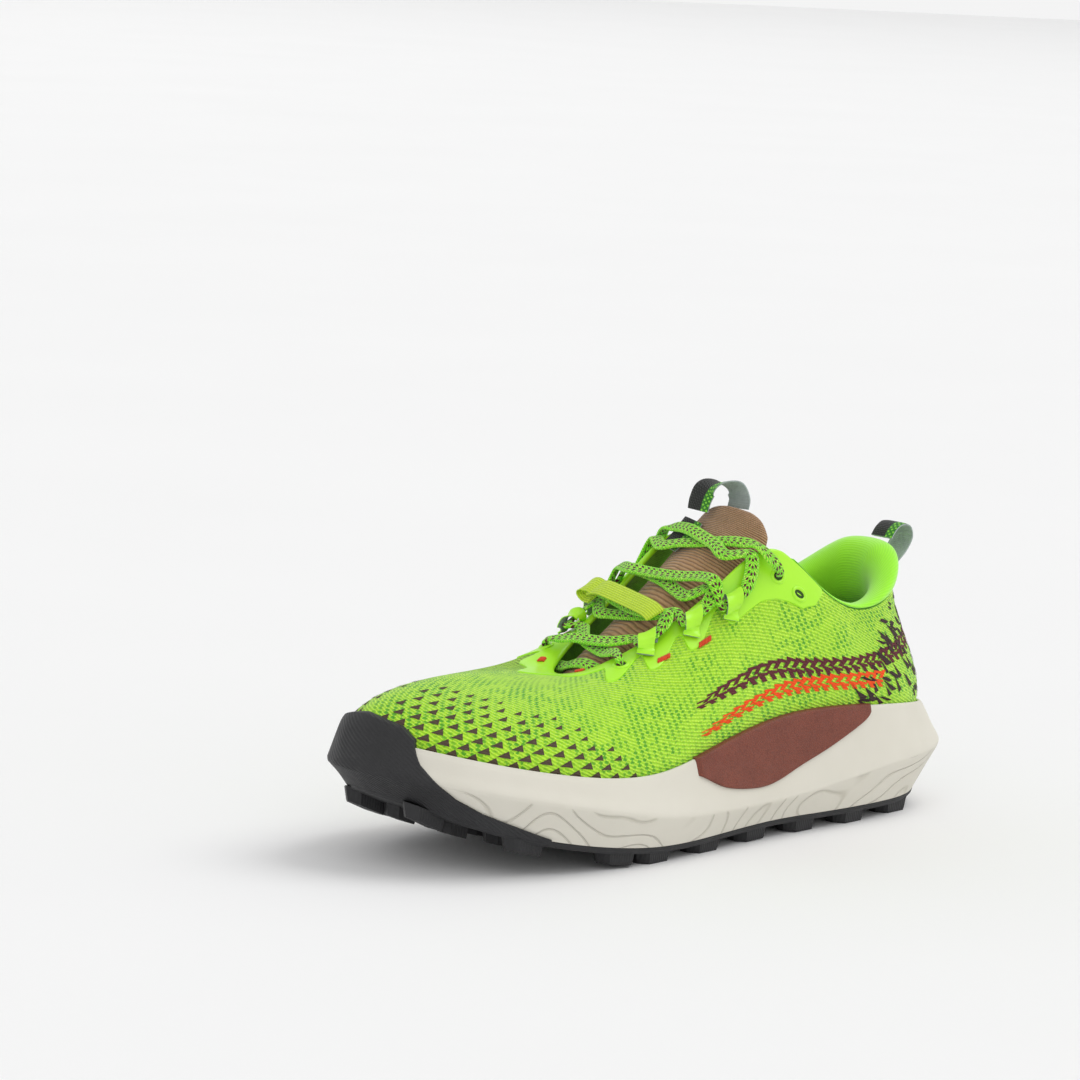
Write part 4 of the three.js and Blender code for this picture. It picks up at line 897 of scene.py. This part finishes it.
LOOPS = [(0.339, 0.89), (0.299, 0.86), (0.265, 0.8)]
LOOP_PATH = [[-5.5, 1.9], [-3.2, 2.5], [-1.8, 4.2], [0.4, 5.7], [3.4, 5.9], [5.7, 4.5], [5.4, 2.6],
             [2.8, 1.9]]
TACKS = [(0.3225, 0.75), (0.2865, 0.71), (0.412, 0.93)]


def on_upper(u, v, reach, height):
    """Point near (u, v): reach towards the throat edge, height above the outer face."""
    inwards = unit(upper(u, v + 0.02) - upper(u, v - 0.02))
    return upper_off(u, v, height) + inwards * reach


for side, at in SIDES.items():
    for number, (u, v) in enumerate(LOOPS, 1):
        path = [on_upper(at(u), v, reach, height) for reach, height in LOOP_PATH]
        wide = on_upper(at(u - 0.01), v, 0, 0) - on_upper(at(u + 0.01), v, 0, 0)
        name = f"lace_loop_{side}_{number}"
        faces = [TAPE, FILM] if side == "lateral" else [FILM, TAPE]
        finish_piece(build(name, strip(path, wide, 7, 0.8, 60)), faces, "loop_tape", replaces=(name,))
    for number, (u, v) in enumerate(TACKS, 1):
        name = f"bar_tack_{side}_{number}"
        lift = 1.15 if number == 3 else 0.85
        patches = []
        for k in range(8):
            stretch = np.linspace(-0.014, 0.014, 9)
            us = at(u) + (k - 3.5) * 0.0013 + stretch * 0
            height = lift - 0.5 * (np.abs(stretch) / 0.014) ** 4 + 0.12 * (k % 2)
            patches += tube(upper_off(us, v + stretch, height), 0.42, 6, normal=upper_normal(at(u), v))
        finish_piece(build(name, patches), [THREAD], "tack_thread", replaces=(name,))

# ---------- lace ----------


def face_normal(x):
    return np.array([x * 0.018, -0.55, 0.83])


def stop(x, y, z):
    return (np.array([x, y, z], float), face_normal(x))


def through(at, loop, way):
    u, v = LOOPS[loop]
    places = [at(u + step * 0.0085) for step in (-way, 0, way)]
    return [(on_upper(p, v, 2.1, 3.95), upper_normal(p, v)) for p in places]


def over_edge(at, u, rise=2.8):
    return [(on_upper(at(u), 1, 1.4, rise), upper_normal(at(u), 0.98))]


def stops_of(rows):
    return [stop(*row) for row in rows]


TAIL_OUT = stops_of([[17, 58, 82], [19, 54, 90], [22.5, 47, 98], [25.2, 41, 102.6], [27.8, 38.1, 104.2],
                     [30.4, 37.6, 105], [33.2, 37, 106.4], [34.2, 34.6, 109.6], [32.4, 31.4, 113.6],
                     [27.6, 30.2, 117]])
DOWN = (stops_of([[20, 28.6, 117.8], [10, 26.4, 117.2], [0, 24, 115.4], [-10, 21.8, 114], [-19, 20, 112]])
        + over_edge(medial, LOOPS[2][0] - 0.016, 3.4) + through(medial, 2, 1)
        + over_edge(medial, LOOPS[2][0] + 0.016)
        + stops_of([[-20, 7.2, 102.8], [-10, 6.2, 102.2], [0, 4.9, 100.9], [10, 3, 98.4], [16.6, 1.8, 97.8]])
        + over_edge(lateral, LOOPS[1][0] - 0.017) + through(lateral, 1, 1)
        + over_edge(lateral, LOOPS[1][0] + 0.015)
        + stops_of([[12, -10.6, 90.4], [0, -12.2, 88.5], [-10, -13.6, 87.6], [-16.6, -14.2, 87.4]])
        + over_edge(medial, LOOPS[0][0] - 0.017) + through(medial, 0, 1)
        + over_edge(medial, LOOPS[0][0] + 0.014)
        + stops_of([[-9, -28.8, 79], [0, -30.3, 76.8], [7, -32, 76.4], [12.4, -33.2, 77.4],
                    [17.2, -35, 77.6]]))
BAR = stops_of([[20.4, -36.8, 76.4], [20.9, -36.2, 73.8], [20, -35, 70.6], [17.2, -35.4, 68.4], [13, -36, 68],
                [6, -36.8, 70.3], [0, -37, 71.3], [-6, -36.8, 70.3], [-13, -36, 68], [-19.2, -34.8, 68],
                [-23.6, -33.8, 69.8], [-25.1, -34.4, 73.2], [-25, -35.6, 76.2]])
OVER = 4.9
UP = (stops_of([[-22.4, -35.4, 77.6], [-17.4, -33.8, 78.4], [-12.4, -32.6, 79.4], [-6, -31.4, 79.7],
                [0, -30.4, 79.9], [7, -28.8, 80.6]])
      + over_edge(lateral, LOOPS[0][0] + 0.014) + through(lateral, 0, -1)
      + over_edge(lateral, LOOPS[0][0] - 0.016, OVER)
      + stops_of([[10, -14, 91.4], [0, -12.3, 91.4], [-10, -10.4, 92.6], [-17, -9, 93.8]])
      + over_edge(medial, LOOPS[1][0] + 0.016, OVER) + through(medial, 1, -1)
      + over_edge(medial, LOOPS[1][0] - 0.016, OVER + 0.8)
      + stops_of([[-19, 3.2, 103.8], [-10, 4.4, 103.6], [0, 5.2, 103.7], [10, 6.4, 104.4], [18, 7.4, 105.4]])
      + over_edge(lateral, LOOPS[2][0] + 0.0165, OVER + 1.8) + through(lateral, 2, -1)
      + over_edge(lateral, LOOPS[2][0] - 0.015)
      + stops_of([[19, 19.6, 113.4], [10, 22, 116.2], [0, 24.2, 118], [-10, 26.4, 119.4],
                  [-20, 28.8, 118.8]]))
TAIL_IN = stops_of([[-27.4, 30.2, 117.2], [-32.4, 32.4, 112.6], [-34.2, 35.2, 107.6], [-32.4, 36.8, 104.8],
                    [-28.3, 36.9, 103.8], [-25.4, 38.1, 103.2], [-23, 42, 101], [-21, 48, 95], [-19, 54, 87],
                    [-18, 58, 80]])
ROUTE = TAIL_OUT + DOWN + BAR + UP + TAIL_IN
dive = len(TAIL_OUT) + len(DOWN)
turns = []
for i, (place, normal) in enumerate(ROUTE):
    if i < len(TAIL_OUT) or i >= len(ROUTE) - len(TAIL_IN):
        turns.append(np.array([0, -1.0, 0]))
    elif dive <= i < dive + len(BAR):
        turns.append(np.array([0, 0.83, 0.55]))
    else:
        turns.append(unit(np.cross(normal, unit(ROUTE[i + 1][0] - ROUTE[i - 1][0]))))
LACE_COUNT = 1500
spread = np.linspace(0.024, 0.976, LACE_COUNT)
lace_line = catmull([place for place, _ in ROUTE], LACE_COUNT, spread)
along = unit(np.gradient(lace_line, axis=0))
side = catmull(turns, LACE_COUNT, spread)
side = unit(side - along * (side * along).sum(1, keepdims=True))
face = unit(np.cross(along, side))
tight = np.array([on_upper(at(u), v, 2.1, 3.95) for at in (lateral, medial) for u, v in LOOPS]
                 + [upper(at(u), v) for at in (lateral, medial) for u, v in ((0.3615, 0.84), (0.2245, 0.86))])
nearest = np.linalg.norm(lace_line[:, None] - tight[None], axis=-1).min(1)
half = 2.85 * lerp(0.56, 1, smooth(nearest, 4.5, 10))
a = np.linspace(0, 2 * np.pi, 33)
# a flat woven section with full, rounded edges and a slight crease along the middle
wide_by = np.sign(np.cos(a)) * np.abs(np.cos(a)) ** 0.62
high_by = np.sign(np.sin(a)) * np.abs(np.sin(a)) ** 0.7 * (1 - 0.14 * np.exp(-(np.cos(a) / 0.22) ** 2))
lace = (lace_line[:, None] + side[:, None] * (half[:, None] * wide_by)[..., None]
        + face[:, None] * (0.78 * high_by)[None, :, None])
run = lengths(lace_line[:, None], 0)
lace_uv = np.stack(np.broadcast_arrays(run, half[:, None] * wide_by), -1)
lace_body = build("lace", [(lace, lace_uv, 0)] + end_caps(lace, lace_line, lace_uv), sharp=70)
finish_piece(lace_body, [LACE], "lace_cord", replaces=("lace",))
for name in ("aglet_lateral", "aglet_medial"):
    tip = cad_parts[name]
    tip.data.materials.clear()
    tip.data.materials.append(TIP)

# ---------- keeper ----------

KEEPER = [[-24.5, -11.5, 95.8], [-18, -12.4, 97.2], [-9, -13.4, 96.6], [0, -14.4, 95.6], [9, -15.6, 94.6],
          [15, -16.4, 93.6], [19, -17, 92]]
keeper = strip(KEEPER, [0.12, 0.8, 0.55], 8.5, 1.1)
fold = [[-21, -11.8, 96.8], [-25, -11.4, 97.4], [-28.5, -11.2, 96.4], [-29.4, -11, 94.4],
        [-27.4, -10.8, 92.8], [-23.5, -11, 92.6]]
keeper += strip(fold, [0.12, 0.8, 0.55], 8.5, 1.0, 50)
finish_piece(build("lace_keeper", keeper), [ELASTIC, ELASTIC], "elastic", replaces=("lace_keeper",))

# ---------- midsole ----------


def base_z(u):
    return plan["tread"](u) + RUBBER + GAP / 2


def bed_inset(u):
    return plan["top_inset"](u) + RIM_WIDTH


def foam_outline(u):
    """Inset and height of the foam wall's profile, from its base up and over the rim."""
    z_top, z_low, crease = plan["top"](u), base_z(u), plan["crease"](u)
    inset, base_inset = plan["top_inset"](u), plan["base_inset"](u)
    return [(base_inset, z_low), (base_inset * 0.55, lerp(z_low, crease, 0.42)),
            (0.25, crease - 1.6), (0, crease - 0.5), (0.15, crease + 0.8),
            (inset * 0.4, lerp(crease, z_top, 0.4)), (inset * 0.82, lerp(crease, z_top, 0.82)),
            (inset * 0.98, z_top - 0.8), (inset + 0.55, z_top), (bed_inset(u) - 0.3, z_top),
            (bed_inset(u) + 0.1, z_top - 0.5), (bed_inset(u) + 0.4, z_top - RIM_DEPTH)]


us = np.linspace(0, 1, 421)
rows = [wall(us, inset, z) for inset, z in foam_outline(us)]
controls = np.stack(rows, 1)
PROFILE = 67
foam = np.array([catmull(row, PROFILE) for row in controls])
crease_at = wall(us, 0, plan["crease"](us))
foam_uv = np.stack([lengths(foam, 0)[:, 20][:, None] + np.zeros(PROFILE),
                    foam[..., 2] - crease_at[:, None, 2]], -1)


def across_body(ring, z_shift=0.0, count=17):
    """A sheet stretched straight across a closed ring, heel at 0 and toe at the middle."""
    n = (len(ring) - 1) // 2
    lateral_half, medial_half = ring[:n + 1], ring[::-1][:n + 1]
    f = np.linspace(0, 1, count)[None, :, None]
    sheet = lateral_half[:, None] * (1 - f) + medial_half[:, None] * f
    return sheet + [0, 0, z_shift]


def plan_uv(points):
    return points[..., :2] * [1, -1]


bed, under = across_body(foam[:, -1]), across_body(foam[:, 0])
midsole = build("midsole", [(foam, foam_uv, 0), (bed, plan_uv(bed) - [0, 900], 0),
                            (under, plan_uv(under) - [0, 900], 0)], sharp=50)
finish_piece(midsole, [FOAM], "midsole_foam", blend=FLEX_SOLE, replaces=("midsole_rear", "midsole_forefoot"))

# ---------- insert in the lateral wall ----------


def station_at(y):
    low, high = 0.0, 0.5
    for _ in range(30):
        middle = (low + high) / 2
        low, high = (middle, high) if plan["y"](middle) > y else (low, middle)
    return low


s = np.linspace(0, 1, 90)
u = lerp(station_at(88), station_at(-18), s)[:, None]
low = catmull(np.array([[0, 0.95, 0], [0.05, 0.78, 0], [0.25, 0.50, 0], [0.45, 0.34, 0], [0.66, 0.2, 0],
                         [0.84, 0.30, 0], [1, 0.70, 0]]), 200)
low = np.interp(s, low[:, 0], low[:, 1])[:, None]
w = low + (1.03 - low) * crowded(24)[None, :]


def wall_above_crease(u, w, offset):
    return wall(u, plan["top_inset"](u) * w - offset, lerp(plan["crease"](u), plan["top"](u), w))


puff = pillow(90, 24, 0.02, 0.1)
insert = slab(wall_above_crease(u, w, 0.05 + 1.15 * puff), wall_above_crease(u, w, -1.4 + 0 * puff))
finish_piece(build("midsole_insert", insert), [LEATHER, LEATHER], "insert_foam", replaces=("midsole_insert",))

# ---------- toe bumper ----------

BUMPER_AWAY = [0, 0.03, 0.041, 0.0455, 0.057, 0.066, 0.08, 0.098, 0.119]
BUMPER_HEIGHT = [3, 2.7, 2.05, 1.5, 0.95, 0.6, 0.38, 0.25, 0.08]


def toe_point(u, height):
    """Outside of the toe at a height: 0 foam base, 1 crease, 2 foam top, 3 up the upper."""
    share = np.clip(height, 0, 1)
    inset = plan["base_inset"](u) * np.interp(share, [0, 0.42, 0.84, 1], [1, 0.55, 0.03, 0])
    low = wall(u, inset, lerp(base_z(u) - 0.8 * (1 - share), plan["crease"](u), share))
    crease = wall(u, 0 * u, plan["crease"](u))
    top = wall(u, plan["top_inset"](u), plan["top"](u) + 0.6)
    over = upper(u, lerp(0.1, 0.2, np.clip(height - 2, 0, 1))) + outward(u) * (BUMPER + 0.5)
    h = height[..., None]
    return np.where(h <= 1, low,
                    np.where(h <= 2, lerp(crease, top, np.clip(h - 1, 0, 1)), over))


us = np.linspace(0.5 - 0.119, 0.5 + 0.119, 161)
top = np.interp(np.abs(us - 0.5), BUMPER_AWAY, BUMPER_HEIGHT)
share = crowded(40)
height = top[:, None] * share[None, :]
u = us[:, None] + 0 * share
shoulder = pillow(161, 40, 0.01, 0.06)
skin_out = toe_point(u, height) + outward(u) * (-0.6 + 1.3 * shoulder)[..., None]
skin_in = toe_point(u, height) - outward(u) * BUMPER
bumper = build("toe_bumper", slab(skin_out, skin_in), sharp=55)
finish_piece(bumper, [RUBBER_RIBBED, RUBBER_PLAIN], "outsole_rubber", "forefoot", replaces=("toe_bumper",))

# ---------- outsole ----------

LUG_ROWS = [(0, 30, 0, 19, 13), (0.35, 20, 8, 13, 12), (0.66, 20, -2, 13, 12), (1, 30, 0, 19, 13)]
FLEX_Y = -68
us = np.linspace(0, 1, 301)
edge_low = wall(us, plan["base_inset"](us) + 1.2, plan["tread"](us))
edge_mid = wall(us, plan["base_inset"](us) + 0.2, plan["tread"](us) + RUBBER * 0.5)
edge_high = wall(us, plan["base_inset"](us) - 0.1, plan["tread"](us) + RUBBER)
rim_side = np.stack([edge_low, edge_mid, edge_high], 1)
tread_low, tread_high = across_body(edge_low), across_body(edge_high, -0.05)
tread = [(rim_side, surface_uv(rim_side), 0), (tread_low, plan_uv(tread_low), 0),
         (tread_high, plan_uv(tread_high), 0)]
tread_x = [edge_low[:151], edge_low[::-1][:151]]


def tread_edge(y):
    """Lateral and medial points of the tread's edge at y."""
    return [np.array([np.interp(-y, -half_ring[:, 1], half_ring[:, k]) for k in (0, 1, 2)])
            for half_ring in tread_x]


def tread_height(x, y):
    lateral_end, medial_end = tread_edge(y)
    f = np.clip((x - medial_end[0]) / max(1, lateral_end[0] - medial_end[0]), 0, 1)
    return lerp(medial_end[2], lateral_end[2], f)


def lug(x, y, length, width):
    """A pointed block with a bevelled foot."""
    way, half = (-1 if y < FLEX_Y + 30 else 1), width / 2
    outline = np.array([[-half, -0.3 * length * way], [-half * 0.35, -0.5 * length * way],
                        [half * 0.35, -0.5 * length * way], [half, -0.3 * length * way],
                        [half * 0.8, 0.32 * length * way], [0, 0.5 * length * way],
                        [-half * 0.8, 0.32 * length * way], [-half, -0.3 * length * way]])
    rings = []
    ground = max(0, tread_height(x, y) - LUG)
    for shrink, level in ((1.0, None), (0.9, 1.0), (0.86, 0.0), (0.0, 0.0)):
        ring = []
        for px, py in outline * shrink + [x, y]:
            low = ground if ground == 0 else max(0, tread_height(px, py) - LUG)
            ring.append([px, py, tread_height(px, py) + 1.0 if level is None else low + level])
        rings.append(ring)
    block = np.array(rings)
    return (block, plan_uv(block), 0)


for across, spacing, shift, length, width in LUG_ROWS:
    y = 113.0 + shift
    while y > -128:
        clear = length / 2 + 1.5
        at_y = FLEX_Y + (clear if y > FLEX_Y else -clear) if abs(y - FLEX_Y) < clear else y
        lateral_end, medial_end = tread_edge(at_y)
        x = lerp(medial_end[0] + width / 2, lateral_end[0] - width / 2, across)
        tread.append(lug(x, at_y, length, width))
        y -= spacing
outsole = build("outsole", tread, sharp=30)
finish_piece(outsole, [RUBBER_PLAIN], "outsole_rubber", blend=FLEX_SOLE,
             replaces=("outsole_rear", "outsole_forefoot"))

# ---------- foot bed ----------

us = np.linspace(0, 1, 241)
bed_edge = wall(us, bed_inset(us) + 0.4, plan["top"](us) - RIM_DEPTH)
for name, inset, lift, thick, material, slot_name, node in (
        ("lasting_board", SHELL + 2, 1.0, 1.2, TAPE_BACK, "lasting_board", "strobel_board"),
        ("insole", SHELL + 3.6, 3.05, 4.2, INSOLE, "insole_fabric", "sockliner")):
    into = -outward(us) * inset
    low, high = bed_edge + into + [0, 0, lift], bed_edge + into + [0, 0, lift + thick]
    rim_ring = np.stack([low, (low + high) / 2, high], 1)
    sheets = [(rim_ring, surface_uv(rim_ring), 0)]
    sheets += [(p, plan_uv(p), 0) for p in (across_body(low), across_body(high))]
    finish_piece(build(name, sheets, sharp=50), [material], slot_name, blend=FLEX_SOLE, replaces=(node,))

# ---------- floor, light ----------


def plane(name, size, place, material, tilt=0.0, turn=0.0):
    bpy.ops.mesh.primitive_plane_add(size=size, location=place, rotation=(tilt, 0, turn))
    obj = bpy.context.object
    obj.name = name
    obj.data.materials.append(material)


def make_backdrop():
    f = Finish("backdrop", rough=1.0, specular=0.0)
    f.paint((0, 0, 0, 1))
    f.shader.inputs["Emission Color"].default_value = (1, 1, 1, 1)
    f.shader.inputs["Emission Strength"].default_value = 0.905
    return f.material


plane("floor", 60, (0, 0, 0), make_floor())
bpy.ops.mesh.primitive_cylinder_add(vertices=96, radius=14, depth=10, end_fill_type="NOTHING",
                                    location=(0, 0, 4))
backdrop = bpy.context.object
backdrop.name = "backdrop"
backdrop.data.materials.append(make_backdrop())

world = bpy.data.worlds.new("studio")
world.use_nodes = True
world.node_tree.nodes["Background"].inputs["Color"].default_value = (1, 1, 1, 1)
world.node_tree.nodes["Background"].inputs["Strength"].default_value = 0.66
bpy.context.scene.world = world


def sun(name, toward_light, strength, softness):
    data = bpy.data.lights.new(name, "SUN")
    data.energy, data.angle = strength, math.radians(softness)
    light = bpy.data.objects.new(name, data)
    light.rotation_euler = Vector(toward_light).to_track_quat("Z", "Y").to_euler()
    bpy.context.scene.collection.objects.link(light)


sun("key", right * 0.75 - Vector((toward.x, toward.y, 0)) * 0.1 + Vector((0, 0, 1.0)), 0.95, 40)
sun("fill", toward * 0.7 + Vector((0, 0, 0.5)), 0.35, 60)
bpy.context.scene.view_settings.view_transform = "Standard"
